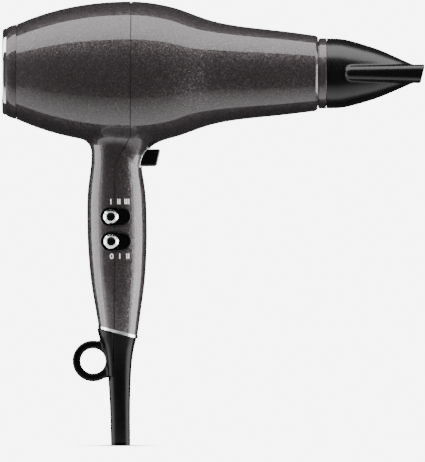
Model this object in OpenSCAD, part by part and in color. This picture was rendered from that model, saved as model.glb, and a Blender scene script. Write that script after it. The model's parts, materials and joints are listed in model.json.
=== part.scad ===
// Hand-held hair dryer with a concentrator nozzle, in millimetres.
// The origin is the centre of the grip. +X points along the barrel to the air outlet, +Z points up
// the handle to the barrel, and the switches face -Y.

/* [Barrel] */
// Widest diameter of the barrel
barrel_d = 92; // [84:1:112]
// Diameter of the barrel shell at its rear end
rear_d = 61.8; // [56:0.2:75]
// Diameter where the swell of the barrel ends and the straight taper starts
neck_d = 61.2; // [56:0.2:74]
// Diameter of the shell where it ends at the air outlet
outlet_d = 48.8; // [47:0.2:58]
// Handle axis back to the rear end of the shell
rear_reach = 65.6; // [58:0.2:80]
// Handle axis forward to the widest point
widest_x = 11; // [6:0.5:16]
// Widest point forward to the end of the swell
swell_len = 67; // [56:1:82]
// End of the swell forward to the end of the shell
taper_len = 52; // [43:1:64]
// Wall of the moulded shells
wall = 2.2; // [1.8:0.1:2.7]

/* [Handle] */
// Centre of the grip up to the barrel axis
axis_z = 97; // [88:1:117]
// Diameter of the handle at the middle of the grip
grip_d = 38.8; // [36:0.2:47]
// Diameter of the handle at its throat, under the barrel
throat_d = 32.2; // [30:0.2:36]
// Barrel axis down to the throat
throat_drop = 55; // [50:0.5:62]
// Diameter of the handle at its lower end
butt_d = 25; // [23:0.2:30]
// Centre of the grip down to the trim ring
grip_drop = 72; // [62:1:84]
// Slope of the trim ring, lower at the front
trim_slope = 15.3; // [0:0.1:18]
// Lean of the handle, lower end forward
handle_lean = 1.23; // [0:0.01:3]

/* [Nozzle] */
// Outer diameter of the duct that attachments push onto
duct_d = 42; // [35:0.2:43]
// How far the duct stands out of the shell
duct_reach = 17; // [14:0.5:21]
// Length of the nozzle from its collar end to its tip
nozzle_len = 63; // [53:1:76]
// Width of the air slot's body at the tip
slot_w = 68; // [56:1:82]
// Height of the air slot's body at the tip
slot_h = 11.7; // [10:0.1:14]
// Wall of the nozzle
nozzle_wall = 1.6; // [1.2:0.1:2]
// Lean of the tip face, upper edge forward
tip_lean = 10.5; // [0:0.5:15]

/* [Controls] */
// Travel of a switch knob over its three places
knob_travel = 6; // [5:0.1:7.2]
// Diameter of the bright ring on a switch knob
knob_ring_d = 9.6; // [8:0.1:10]
// Height of a switch recess
recess_h = 13.4; // [12.6:0.1:15]
// Distance between the two switch recesses
recess_pitch = 16; // [15.6:0.1:19.2]
// Height of the cool-shot button
button_h = 11.2; // [9.4:0.1:13.4]
// Width of the cool-shot button
button_w = 13; // [10.8:0.1:15.6]
// Travel of the cool-shot button
button_travel = 3; // [2:0.1:3.5]

/* [Cord end] */
// Length of the cord sleeve under the trim ring
sleeve_len = 73.5; // [61:0.5:88]
// Diameter of the sleeve's free end
sleeve_d = 12.5; // [11.5:0.1:15]
// Diameter of the hole for the cord
cord_bore_d = 7.4; // [6.2:0.1:8.8]
// Inner diameter of the hanging loop
loop_bore_d = 16.4; // [14:0.2:19.6]
// Thickness of the hanging loop, seen from the side
loop_t = 5.1; // [4.2:0.1:6.1]

/* [Fan and motor] */
// Diameter over the fan blades
fan_d = 66; // [56:1:67]
// Number of fan blades
blade_count = 9; // [5:1:11]
// Number of guide vanes behind the fan
vane_count = 7; // [5:1:9]
// Diameter of the motor's laminated stack
motor_d = 40; // [34:1:44]
// Diameter of the motor shaft
shaft_d = 3.2; // [2.8:0.1:4]

/* [Clearances] */
// Gap at each seam between two mouldings
seam_gap = 0.3; // [0.2:0.05:0.4]
// Gap beside a piece that slides
slide_gap = 0.2; // [0.15:0.05:0.3]
// Radial gap of the shaft in its bushes
run_gap = 0.04; // [0.02:0.01:0.08]

/* [Hidden] */
$fn = 96;
far = 400;
eps = 0.01;

paint = "#5b5456";
black_gloss = "#161617";
black_matt = "#232324";
chrome = "#d9dadc";
steel = "#a9acb0";
mica = "#cdbd97";
copper = "#b06a3a";
white = "#f2f2f0";

// ---- curves ----

// Slope of a smooth curve through points [x, y] at point i.
function slope_at(p, i) =
    let (last = len(p) - 1,
         a = max(i - 1, 0),
         b = min(i + 1, last),
         back = i == 0 ? 0 : (p[i][1] - p[a][1]) / (p[i][0] - p[a][0]),
         ahead = i == last ? 0 : (p[b][1] - p[i][1]) / (p[b][0] - p[i][0]),
         wb = i == 0 ? 0 : 1 / (p[i][0] - p[a][0]),
         wa = i == last ? 0 : 1 / (p[b][0] - p[i][0]))
    (back * wb + ahead * wa) / (wb + wa);

// Height of the smooth curve through points p, between points i and i + 1, at share t of the way.
function between(p, i, t) =
    let (h = p[i + 1][0] - p[i][0])
    (2 * t ^ 3 - 3 * t ^ 2 + 1) * p[i][1] + (t ^ 3 - 2 * t ^ 2 + t) * h * slope_at(p, i)
    + (3 * t ^ 2 - 2 * t ^ 3) * p[i + 1][1] + (t ^ 3 - t ^ 2) * h * slope_at(p, i + 1);

// The smooth curve through points p as a list of points, with n steps from each to the next.
function smooth(p, n = 4) =
    [for (i = [0 : len(p) - 2]) for (k = [0 : n - 1])
        [p[i][0] + k / n * (p[i + 1][0] - p[i][0]), between(p, i, k / n)],
     p[len(p) - 1]];

// Height of the smooth curve through points p at x.
function height_at(p, x) =
    let (i = max([for (k = [0 : len(p) - 2]) p[k][0] <= x ? k : 0]))
    between(p, i, (x - p[i][0]) / (p[i + 1][0] - p[i][0]));

// Rounded rectangle w by h about the origin, corner radius r, as points.
function rounded(w, h, r) =
    [for (q = [0 : 3]) for (k = [0 : 4])
        let (a = 90 * q + 22.5 * k,
             cx = (w / 2 - r) * (q == 0 || q == 3 ? 1 : -1),
             cy = (h / 2 - r) * (q < 2 ? 1 : -1))
        [cx + r * cos(a), cy + r * sin(a)]];

// ---- derived sizes: barrel ----

shell_front_x = widest_x + swell_len + taper_len;
outer_r = barrel_d / 2;
neck_r = neck_d / 2;
end_lip = 1.2;
end_chamfer = 2;

// The barrel's outline as [x, radius]: a bulge that flattens to the widest point, a shoulder down to
// the neck, and a straight taper to the outlet.
barrel_line = concat(
    [for (t = [0, 0.2, 0.45, 0.7])
        [-rear_reach + t * (rear_reach + widest_x),
         rear_d / 2 + (outer_r - rear_d / 2) * (1 - (1 - t) ^ 2.25)]],
    [for (s = [[0, 1], [0.39, 0.75], [0.7, 0.272], [1, 0]])
        [widest_x + s[0] * swell_len, neck_r + s[1] * (outer_r - neck_r)]],
    [[widest_x + swell_len + taper_len / 2, (neck_d + outlet_d) / 4 - 0.1],
     [shell_front_x, outlet_d / 2]]
);
function barrel_r(x) = height_at(barrel_line, x);

seam_x = 8.5;
handle_seam_x = -1.4;
seam_jog_z = axis_z - 41.6;
seam_jog_h = 18.5;

// ---- derived sizes: handle ----

grip_r = grip_d / 2;
throat_r = throat_d / 2;
throat_z = axis_z - throat_drop;
butt_r = butt_d / 2;
trim_t = 1.9;
trim_stand = 0.35;
flare_z = throat_z + 11.5;
flare_r = throat_r + 4.6;

// The handle's outline as [z, radius], from below the trim ring to inside the barrel.
grip_line = concat(
    [[-grip_drop - 9, butt_r - 1.1]],
    [for (t = [1, 0.8, 0.6, 0.35, 0])
        [-grip_drop * t, butt_r + (grip_r - butt_r) * (1 - t ^ 2.1)]],
    [for (s = [[0.48, 0.84], [0.79, 0.33], [1, 0]])
        [throat_z * s[0], throat_r + s[1] * (grip_r - throat_r)]],
    [[throat_z + 6, throat_r + 1], [flare_z, flare_r], [flare_z + 8, flare_r]]
);
function grip_r_at(z) = height_at(grip_line, z);

// The swell in front of the throat that carries the handle into the barrel, as [z, radius] about
// its own upright axis.
swell_x = 10;
swell_line = [for (s = [[-8, -0.5], [-2, 0.2], [2.2, 2.2], [5.5, 6.2], [8.6, 10.6], [12, 13.6], [19, 13.6]])
    [throat_z + s[0], throat_r - swell_x + s[1]]];

// ---- derived sizes: outlet and nozzle ----

duct_r = duct_d / 2;
duct_wall = 1.4;
duct_in_r = duct_r - duct_wall;
duct_back_x = widest_x + swell_len - 16;
duct_front_x = shell_front_x + duct_reach;
collar_x = shell_front_x + seam_gap + 0.6;
collar_len = 4.6;
collar_r = outlet_d / 2 - end_lip - 0.3;
nozzle_x = collar_x + collar_len + seam_gap;
nozzle_tip_x = nozzle_x + nozzle_len;
socket_r = duct_r + slide_gap;
socket_len = duct_front_x - nozzle_x + 1.5;
ogive_len = nozzle_len * 0.885;
ogive_r = collar_r - 0.2;
ogive_tip_r = slot_h / 2;
slot_start_x = nozzle_x + 10;
slot_start_w = 2 * ogive_r - 1.5;
slot_start_h = slot_h * 0.8;
clip_x = nozzle_x + 5;
clip_w = 1.4;

// The nozzle's outline as [x, radius].
ogive_line = [for (s = [[0, 1], [0.12, 0.985], [0.27, 0.92], [0.45, 0.78], [0.62, 0.59], [0.8, 0.33],
                        [1, 0]])
    [nozzle_x + s[0] * ogive_len, ogive_tip_r + s[1] * (ogive_r - ogive_tip_r)]];

// ---- derived sizes: heater ----

liner_r = duct_in_r;
liner_t = 0.4;
heater_back_x = duct_back_x + 8;
heater_front_x = shell_front_x + 2;
mica_t = 0.8;
coil_wire_r = 0.5;
coil_r = liner_r - liner_t - 2.2;
coil_pitch = 4.6;
coil_count = floor((heater_front_x - heater_back_x - 10) / coil_pitch);
grille_x = duct_front_x - 4;

// ---- derived sizes: fan and motor ----

fan_r = fan_d / 2;
shroud_r = fan_r + 1;
shroud_t = 1.4;
shroud_back_x = -rear_reach + 22.6;
fan_back_x = shroud_back_x + 2;
fan_len = 15;
fan_hub_r = 11;
vane_x = fan_back_x + fan_len + 2;
vane_len = 15;
motor_r = motor_d / 2;
cup_r = motor_r;
cup_t = 1.5;
flange_x = vane_x + vane_len;
flange_r = barrel_r(flange_x) - wall - 0.3;
flange_t = 2;
boss_r = 3;
boss_at_r = flange_r - 2.4;
mount_screw_r = 1.5;
motor_back_x = vane_x + 6;
bracket_t = 2;
bracket_len = 12;
stack_x = motor_back_x + bracket_len;
stack_len = 20;
front_bracket_x = stack_x + stack_len;
motor_front_x = front_bracket_x + bracket_len + 6;
shaft_r = shaft_d / 2;
bush_r = shaft_r + 2.4;
armature_r = motor_r * 0.53;
commutator_r = motor_r * 0.28;
commutator_x = front_bracket_x + 3;
commutator_len = 9;
brush_w = 4;

// ---- derived sizes: rear cap ----

cap_len = 6.4;
cap_x = -rear_reach - seam_gap;
cap_in_r = rear_d / 2 - wall - 2;
skirt_r = rear_d / 2 - wall - slide_gap;
skirt_len = 5.5;
cap_end_r = rear_d / 2 - 2.3;
bead_len = 2.6;
screen_t = 0.5;

// ---- derived sizes: cord end ----

sleeve_r = sleeve_d / 2;
sleeve_top_z = -grip_drop;
sleeve_end_z = sleeve_top_z - sleeve_len;
sleeve_shoulder_z = sleeve_top_z - 30;

// The sleeve's outline as [z, radius], from its free end up to the trim ring.
sleeve_line = concat(
    [[sleeve_end_z, sleeve_r], [sleeve_shoulder_z - 16, sleeve_r + 0.4]],
    [for (s = [[0, 0.18], [0.32, 0.3], [0.64, 0.54], [0.85, 0.8], [1, 1]])
        [sleeve_shoulder_z + s[0] * (sleeve_top_z - sleeve_shoulder_z),
         sleeve_r + s[1] * (butt_r + 0.1 - sleeve_r)]],
    [[sleeve_top_z + 8, butt_r + 0.9]]
);
loop_bore_r = loop_bore_d / 2;
loop_z = sleeve_top_z - 18.4;
loop_x = -height_at(sleeve_line, loop_z) - 0.45 - loop_bore_r;
loop_w = 5.6;
strap_t = 1;
neck_in_r = grip_r_at(-grip_drop - butt_r * tan(trim_slope) - 1) - wall - slide_gap;
sleeve_neck_z = sleeve_top_z + 9;
clamp_gap = 0.3;
clamp_z = sleeve_neck_z + clamp_gap;
clamp_h = 8;

// ---- derived sizes: controls ----

recess_x = -0.85;
knob_r = knob_ring_d / 2 + 0.6;
recess_w = knob_travel + 2 * knob_r + 3.4;
recess_top_z = 3.2;
recess_zs = [recess_top_z, recess_top_z - recess_pitch];
bezel_t = 0.9;
floor_y = -grip_r + 6.2;
floor_t = 1;
knob_top_y = -grip_r - 1;
knob_x = recess_x - knob_travel / 2;
stem_r = 1.6;
switch_depth = 9;
board_y = floor_y + floor_t + 0.6 + switch_depth;
board_t = 1.6;
board_x = -9;
board_w = 15;
board_top_z = recess_top_z + 22;
board_bottom_z = clamp_z + clamp_h + 1.5;
switch_w = 16;
switch_h = min(12, recess_pitch - 2);
mark_h = 3.4;
mark_t = 0.12;
mark_pitch = 5.2;
mark_gap = 3;
button_z = throat_z - 0.9;
button_root_x = throat_r + 0.8;
button_reach = 12.2;
button_slope = 2.7;
button_flange_x = throat_r - wall - 2.7;
button_flange_t = 1.4;
shank_r = 1.4;
lead_r = 0.8;
spring_room = 2.6;
micro_len = 6;
micro_x = button_flange_x - button_travel - spring_room - micro_len;
micro_w = 6;
micro_drop = button_h / 2 + 2.4;
spring_r = 2.3;
spring_wire_r = 0.22;

// ---- placing ----

// Children drawn along +Z are laid along the barrel, so that their z is the dryer's x.
module on_barrel() translate([0, 0, axis_z]) rotate([0, 90, 0]) children();

// Children drawn about a vertical handle are leaned to the real one.
module on_handle() rotate([0, -handle_lean, 0]) children();

// Keeps what is under (side -1) or over (side 1) the slanted plane at height z on the handle's axis.
module trim_cut(z, side)
    translate([0, 0, z]) rotate([0, trim_slope, 0])
        translate([-far / 2, -far / 2, side < 0 ? -far : 0]) cube(far);

// A turned solid from its outline [position, radius], grown by g.
module turned(line, g = 0, n = 4)
    rotate_extrude()
        polygon(concat([[0, line[0][0]]],
                       [for (p = smooth(line, n)) [p[1] + g, p[0]]],
                       [[0, line[len(line) - 1][0]]]));

module tube(r, inner_r, from, to)
    translate([0, 0, from]) difference() {
        cylinder(r = r, h = to - from);
        translate([0, 0, -1]) cylinder(r = inner_r, h = to - from + 2);
    }

module rod(r, from, to) translate([0, 0, from]) cylinder(r = r, h = to - from);

// A box from its low corner to its high corner.
module block(low, high) translate(low) cube(high - low);

// Children repeated n times about the z axis.
module around(n) for (i = [0 : n - 1]) rotate([0, 0, 360 / n * i]) children();

// A slab with round ends across the x axis, w long, h high, running from y = from to y = to.
module stadium(w, h, from, to)
    translate([0, from, 0]) rotate([-90, 0, 0]) linear_extrude(to - from) {
        square([w - h, h], center = true);
        for (s = [-1, 1]) translate([s * (w - h) / 2, 0]) circle(d = h, $fn = 48);
    }

// A rod in the Y direction.
module cross_rod(r, from, to) translate([0, from, 0]) rotate([-90, 0, 0]) cylinder(r = r, h = to - from);

// Round wire along a list of points, with 6 sides; every ring is square to a fixed direction "up".
module wire(points, r, up) {
    sides = 6;
    n = len(points);
    rings = [for (i = [0 : n - 1])
        let (a = points[max(i - 1, 0)],
             b = points[min(i + 1, n - 1)],
             t = (b - a) / norm(b - a),
             u = cross(up, t) / norm(cross(up, t)),
             v = cross(t, u))
        for (k = [0 : sides - 1]) points[i] + r * (cos(360 / sides * k) * u + sin(360 / sides * k) * v)];
    polyhedron(rings, concat(
        [[for (k = [0 : sides - 1]) k]],
        [for (i = [0 : n - 2]) for (k = [0 : sides - 1])
            let (a = i * sides + k, b = i * sides + (k + 1) % sides)
            [a, a + sides, b + sides, b]],
        [[for (k = [sides - 1 : -1 : 0]) (n - 1) * sides + k]]));
}

// ---- the outer shells ----

module barrel_solid(g = 0) on_barrel() turned(barrel_line, g);

module grip_solid(g = 0) on_handle() turned(grip_line, g, 3);

// The outside of the throat, where the handle swells into the barrel, grown by g.
module throat_skin(g) {
    turned(grip_line, g, 3);
    rotate([0, handle_lean, 0]) translate([swell_x, 0, 0]) turned(swell_line, g, 3);
}

// The hollow inside the shells, open at the rear, the outlet and the lower end.
module hollow() {
    barrel_solid(-wall);
    on_handle() turned(grip_line, -wall, 3);
    on_barrel() rod(rear_d / 2 - wall, -rear_reach - 1, -rear_reach + 2);
    on_barrel() rod(outlet_d / 2 - wall, shell_front_x - 1, shell_front_x + 1);
}

// The space in front of the parting seam, moved forward by g.
module front_of_seam(g)
    translate([g, far / 2, 0]) rotate([90, 0, 0]) linear_extrude(far)
        polygon([[seam_x, far], [seam_x, seam_jog_z], [handle_seam_x, seam_jog_z - seam_jog_h],
                 [handle_seam_x, -far], [far, -far], [far, far]]);

// The outer skin of both shells, before they are parted.
module skin() {
    difference() {
        union() {
            barrel_solid();
            grip_solid();
            translate([swell_x, 0, 0]) turned(swell_line, 0, 3);
        }
        hollow();
        on_handle() trim_cut(-grip_drop + trim_t / 2, -1);
        on_barrel() translate([0, 0, shell_front_x - end_chamfer])
            tube(outer_r, outlet_d / 2 - end_lip, end_chamfer - eps, 20);
        // Chamfered outlet end
        on_barrel() translate([0, 0, shell_front_x - end_chamfer]) difference() {
            cylinder(r = outer_r, h = end_chamfer);
            translate([0, 0, -1]) cylinder(r1 = outlet_d / 2 + 0.45 + end_lip / 2, r2 = outlet_d / 2 - end_lip,
                                           h = end_chamfer + 1);
        }
        for (z = recess_zs) on_handle() translate([recess_x, 0, z])
            stadium(recess_w, recess_h, -grip_r - 5, -grip_r / 2);
    }
}

module front_shell() color(paint) {
    difference() {
        intersection() {
            skin();
            front_of_seam(seam_gap / 2);
        }
        on_handle() button_space(slide_gap);
    }
    // Shelf that carries the cool-shot switch
    intersection() {
        on_handle() block([micro_x, -4, button_z - micro_drop - 1.2], [throat_r + 1, 4, button_z - micro_drop]);
        grip_solid(-wall / 2);
    }
}

module rear_shell() color(paint) {
    difference() {
        union() {
            difference() {
                skin();
                front_of_seam(-seam_gap / 2);
            }
            // Bosses for the motor mount
            intersection() {
                on_barrel() around(3)
                    translate([-boss_at_r, 0, 0]) rod(boss_r, flange_x - 10, flange_x);
                barrel_solid(-wall / 2);
            }
            // Posts for the switch board
            intersection() {
                on_handle() for (z = board_screw_zs) translate([board_screw_x, 0, z])
                    cross_rod(2.6, board_y + board_t, grip_r);
                grip_solid(-wall / 2);
            }
        }
        on_barrel() around(3) translate([-boss_at_r, 0, 0]) rod(mount_screw_r, flange_x - 8, flange_x + 1);
        on_handle() for (z = board_screw_zs) translate([board_screw_x, 0, z])
            cross_rod(board_screw_r, board_y, board_y + 7);
    }
}

// ---- outlet, duct and heater ----

module outlet_collar() color(paint) on_barrel() difference() {
    union() {
        rod(collar_r, collar_x, collar_x + collar_len);
        rod(collar_r - 0.8, collar_x - 0.6, collar_x);
    }
    rod(duct_r, collar_x - 2, collar_x + collar_len + 1);
}

module heater_duct() color(black_matt) on_barrel() {
    tube(duct_r, duct_in_r, duct_back_x, duct_front_x);
    // Flange that centres the duct in the shell
    intersection() {
        tube(outer_r, duct_r - eps, duct_back_x, duct_back_x + 2);
        turned(barrel_line, -wall);
    }
}

module ring_grid(r, from, to, rings, spokes, bar) {
    tube(r, r - 1.6, from, to);
    for (k = [1 : rings]) let (m = k * (r - 1.6) / (rings + 1)) tube(m + bar / 2, m - bar / 2, from, to);
    around(spokes) block([0, -bar / 2, from], [r - 1, bar / 2, to]);
}

module outlet_grille() color(black_matt) on_barrel() ring_grid(duct_in_r, grille_x, grille_x + 2, 3, 6, 1.2);

module heater_liner() color(mica) on_barrel() tube(liner_r, liner_r - liner_t, heater_back_x, heater_front_x);

module heater_frame() color(mica) on_barrel() {
    difference() {
        intersection() {
            for (a = [0, 90]) rotate([0, 0, a])
                block([-liner_r, -mica_t / 2, heater_back_x], [liner_r, mica_t / 2, heater_front_x]);
            rod(liner_r - liner_t, heater_back_x, heater_front_x);
        }
        // The winding lies in this waist
        tube(liner_r, coil_r - coil_wire_r, heater_back_x + 4, heater_front_x - 4);
    }
}

module heating_coils() color(steel) on_barrel()
    for (i = [0 : coil_count - 1]) translate([0, 0, heater_back_x + 7 + i * coil_pitch])
        rotate_extrude() translate([coil_r, 0]) circle(r = coil_wire_r, $fn = 16);

module thermal_cutout() color(white) on_barrel() {
    translate([0, 0, heater_back_x + 14]) for (s = [0, 14]) translate([5, mica_t / 2, s])
        cross_rod(3.4, 0, 3);
}

// ---- fan and motor ----

module motor_mount() color(black_matt) on_barrel() difference() {
    union() {
        tube(shroud_r + shroud_t, shroud_r, shroud_back_x, flange_x + flange_t);
        tube(flange_r, shroud_r + shroud_t - eps, flange_x, flange_x + flange_t);
        tube(cup_r + cup_t, cup_r, vane_x, stack_x + stack_len / 2);
        tube(cup_r + eps, bush_r + 1, vane_x, vane_x + 2);
        around(vane_count) translate([cup_r + cup_t / 2, 0, 0]) rotate([-14, 0, 0])
            block([0, -0.6, vane_x + 2], [shroud_r - cup_r, 0.6, vane_x + vane_len - 2]);
    }
    around(3) translate([-boss_at_r, 0, 0]) rod(mount_screw_r, flange_x - 1, flange_x + flange_t + 1);
}

module screw(r, head_r, head_h, length) {
    translate([0, 0, -length]) cylinder(r = r, h = length, $fn = 32);
    difference() {
        cylinder(r = head_r, h = head_h, $fn = 32);
        for (a = [0, 90]) rotate([0, 0, a])
            block([-head_r * 0.6, -0.3, head_h * 0.5], [head_r * 0.6, 0.3, head_h + 1]);
    }
}

module motor_mount_screws() color(steel) on_barrel() around(3)
    translate([-boss_at_r, 0, flange_x + flange_t]) screw(mount_screw_r, 2.3, 1.6, flange_t + 7);

module motor_stator() color(steel) on_barrel() difference() {
    rod(motor_r, stack_x, stack_x + stack_len);
    // Bore for the armature, and the two slots that hold the field windings
    rod(armature_r + 0.5, stack_x - 1, stack_x + stack_len + 1);
    for (s = [-1, 1]) block([-motor_r * 0.3, s > 0 ? armature_r + 0.3 : -motor_r * 0.82, stack_x - 1],
                            [motor_r * 0.3, s > 0 ? motor_r * 0.82 : -armature_r - 0.3, stack_x + stack_len + 1]);
}

module field_coils() color(copper) on_barrel() for (s = [-1, 1])
    block([-motor_r * 0.27, s > 0 ? armature_r + 0.8 : -motor_r * 0.82, stack_x - 5],
          [motor_r * 0.27, s > 0 ? motor_r * 0.82 : -armature_r - 0.8, stack_x + stack_len + 5]);

// End bracket of the motor: a cup with a floor that holds the bush, and cooling windows.
module motor_bracket(floor_from, rim_from, rim_to, with_slots) difference() {
    union() {
        tube(motor_r, motor_r - 1.4, rim_from, rim_to);
        rod(motor_r, floor_from, floor_from + bracket_t);
        rod(bush_r + 1.6, floor_from - 1, floor_from + bracket_t + 2);
    }
    rod(bush_r, floor_from - 3, floor_from + bracket_t + 4);
    if (with_slots) around(6) translate([motor_r * 0.6, 0, 0]) rod(motor_r * 0.15, floor_from - 1, floor_from + 4);
}

module rear_motor_bracket() color(steel) on_barrel()
    motor_bracket(motor_back_x, motor_back_x, stack_x, true);

module front_motor_bracket() color(steel) on_barrel() translate([0, 0, motor_front_x]) mirror([0, 0, 1])
    motor_bracket(0, 0, motor_front_x - front_bracket_x, true);

module rear_bush() color(copper) on_barrel()
    tube(bush_r, shaft_r + run_gap, motor_back_x - 1, motor_back_x + bracket_t + 2);

module front_bush() color(copper) on_barrel()
    tube(bush_r, shaft_r + run_gap, motor_front_x - bracket_t - 2, motor_front_x + 1);

module brush_holders() color(mica) on_barrel() for (s = [-1, 1])
    rotate([0, 0, s > 0 ? 0 : 180]) difference() {
        intersection() {
            block([commutator_r + 1.5, -brush_w / 2 - 1, commutator_x + 1],
                  [motor_r, brush_w / 2 + 1, commutator_x + 8]);
            rod(motor_r - 1.4, commutator_x, commutator_x + 9);
        }
        block([commutator_r, -brush_w / 2, commutator_x + 2], [motor_r - 3, brush_w / 2, commutator_x + 7]);
    }

module carbon_brushes() color(black_matt) on_barrel() for (s = [-1, 1])
    rotate([0, 0, s > 0 ? 0 : 180]) difference() {
        block([commutator_r - 1, -brush_w / 2, commutator_x + 2],
              [commutator_r + 6, brush_w / 2, commutator_x + 7]);
        rod(commutator_r + 0.1, commutator_x, commutator_x + commutator_len);
    }

module motor_shaft() color(steel) on_barrel() rod(shaft_r, fan_back_x - 3, motor_front_x + 2);

module armature() color(copper) on_barrel() difference() {
    rod(armature_r, stack_x, stack_x + stack_len);
    rod(shaft_r, stack_x - 1, stack_x + stack_len + 1);
    around(12) block([armature_r - 2.6, -0.6, stack_x - 1], [armature_r + 1, 0.6, stack_x + stack_len + 1]);
}

module commutator() color(copper) on_barrel() difference() {
    rod(commutator_r, commutator_x, commutator_x + commutator_len);
    rod(shaft_r, commutator_x - 1, commutator_x + commutator_len + 1);
    around(12) block([commutator_r - 0.8, -0.15, commutator_x - 1],
                     [commutator_r + 1, 0.15, commutator_x + commutator_len + 1]);
}

module fan() color(white) on_barrel() difference() {
    union() {
        rod(fan_hub_r, fan_back_x, fan_back_x + fan_len - 3);
        around(blade_count) intersection() {
            translate([fan_hub_r - 1, 0, fan_back_x + (fan_len - 3) / 2]) rotate([38, 0, 0])
                block([0, -0.7, -fan_len], [fan_r - fan_hub_r + 3, 0.7, fan_len]);
            rod(fan_r, fan_back_x, fan_back_x + fan_len - 3);
        }
    }
    rod(shaft_r, fan_back_x - 1, fan_back_x + fan_len);
}

module fan_nut() color(steel) on_barrel() difference() {
    translate([0, 0, fan_back_x - 2.4]) cylinder(r = shaft_r + 2, h = 2.4, $fn = 6);
    rod(shaft_r, fan_back_x - 4, fan_back_x + 1);
}

// ---- rear cap ----

module rear_cap() color(paint) on_barrel() difference() {
    union() {
        translate([0, 0, cap_x - cap_len]) cylinder(r1 = cap_end_r, r2 = rear_d / 2 - 0.1, h = cap_len);
        rod(skirt_r, cap_x - 1, cap_x + skirt_len);
    }
    rod(cap_in_r, cap_x - cap_len - 1, cap_x + skirt_len + 1);
}

module rear_bead() color(black_gloss) on_barrel() difference() {
    translate([0, 0, cap_x - cap_len]) rotate_extrude()
        polygon(concat([[cap_in_r, 0]],
                       [for (a = [0 : 15 : 90]) [cap_end_r - 0.5 - 1.6 * (1 - cos(a)), -bead_len * sin(a)]],
                       [[cap_in_r, -bead_len]]));
}

module rear_grille() color(black_matt) on_barrel()
    ring_grid(cap_in_r, cap_x - cap_len - 0.2, cap_x - cap_len + 1.6, 6, 8, 1.1);

module filter_screen() color(steel) on_barrel()
    rod(cap_in_r, cap_x - cap_len + 2.2, cap_x - cap_len + 2.2 + screen_t);

// ---- switches ----

module bezel(z) on_handle() difference() {
    intersection() {
        translate([recess_x, 0, z]) stadium(recess_w, recess_h, -grip_r - 5, floor_y + floor_t);
        turned(grip_line, 0.15, 3);
    }
    translate([recess_x, 0, z]) {
        stadium(recess_w - 2 * bezel_t, recess_h - 2 * bezel_t, -grip_r - 6, floor_y);
        stadium(knob_travel + 2 * stem_r + 1, 2 * stem_r + 1, floor_y - 1, floor_y + floor_t + 1);
    }
}

module slide_switch(z) on_handle() difference() {
    block([recess_x - switch_w / 2, board_y - switch_depth, z - switch_h / 2],
          [recess_x + switch_w / 2, board_y, z + switch_h / 2]);
    translate([recess_x, 0, z])
        stadium(knob_travel + 2 * stem_r + 1, 2 * stem_r + 1, board_y - switch_depth - 1, board_y - 3);
}

module knob(z) on_handle() translate([knob_x, 0, z]) difference() {
    union() {
        cross_rod(knob_r, floor_y - 1.6, floor_y - slide_gap);
        cross_rod(knob_r - 0.6, knob_top_y + 0.9, floor_y - 1);
        cross_rod(stem_r, floor_y - 1, board_y - 4);
        cross_rod(knob_ring_d * 0.29, knob_top_y + 0.4, knob_top_y + 2);
    }
    cross_rod(knob_ring_d * 0.16, knob_top_y - 1, knob_top_y + 0.9);
}

module knob_ring(z) on_handle() translate([knob_x, 0, z]) difference() {
    cross_rod(knob_ring_d / 2, knob_top_y, knob_top_y + 0.9);
    cross_rod(knob_ring_d * 0.29, knob_top_y - 1, knob_top_y + 2);
}

nought_w = 2.3;

// A tall rounded outline of this end radius, as high as the marks are at its widest.
module nought(r) {
    square([2 * r, mark_h - nought_w], center = true);
    for (k = [-1, 1]) translate([0, k * (mark_h - nought_w) / 2]) circle(r = r, $fn = 32);
}

// A printed mark made of n upright bars, or a nought for n = 0, centred on the origin in XZ.
module mark(n) translate([0, -grip_r / 2, 0]) rotate([90, 0, 0]) linear_extrude(grip_r) {
    if (n == 0) difference() {
        nought(nought_w / 2);
        nought(nought_w / 2 - 0.6);
    } else for (k = [0 : n - 1]) translate([(k - (n - 1) / 2) * 1.25, 0])
        square([0.7, mark_h], center = true);
}

module mark_row(z, counts) on_handle() intersection() {
    difference() {
        turned(grip_line, mark_t, 3);
        turned(grip_line, 0, 3);
    }
    for (i = [0 : len(counts) - 1]) translate([knob_x + 0.2 + i * mark_pitch, 0, z]) mark(counts[i]);
}

module heat_bezel() color(black_gloss) bezel(recess_zs[0]);
module heat_switch() color(black_matt) slide_switch(recess_zs[0]);
module heat_knob() color(black_gloss) knob(recess_zs[0]);
module heat_knob_ring() color(chrome) knob_ring(recess_zs[0]);
module heat_marks() color(white) mark_row(recess_zs[0] + recess_h / 2 + mark_gap, [1, 2, 3]);
module speed_bezel() color(black_gloss) bezel(recess_zs[1]);
module speed_switch() color(black_matt) slide_switch(recess_zs[1]);
module speed_knob() color(black_gloss) knob(recess_zs[1]);
module speed_knob_ring() color(chrome) knob_ring(recess_zs[1]);
module speed_marks() color(white) mark_row(recess_zs[1] - recess_h / 2 - mark_gap, [0, 1, 2]);

board_screw_r = 1;
board_screw_x = board_x + 3.4;
board_screw_zs = [board_top_z - 4, board_bottom_z + 4];

module switch_board() color(mica) on_handle() difference() {
    block([board_x, board_y, board_bottom_z], [board_x + board_w, board_y + board_t, board_top_z]);
    for (z = board_screw_zs) translate([board_screw_x, 0, z])
        cross_rod(board_screw_r, board_y - 1, board_y + board_t + 1);
}

module board_screws() color(steel) on_handle()
    for (z = board_screw_zs) translate([board_screw_x, board_y, z]) rotate([90, 0, 0])
        screw(board_screw_r, 2, 1.2, board_t + 5);

module terminal_block() color(white) on_handle() difference() {
    block([board_x + 1, board_y - 7, board_bottom_z + 10], [board_x + board_w - 1, board_y, board_bottom_z + 19]);
    for (s = [0 : 2]) translate([board_x + 3.4 + s * 4.1, 0, board_bottom_z + 14.5]) cross_rod(1.3, board_y - 8, board_y - 3);
}

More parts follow.
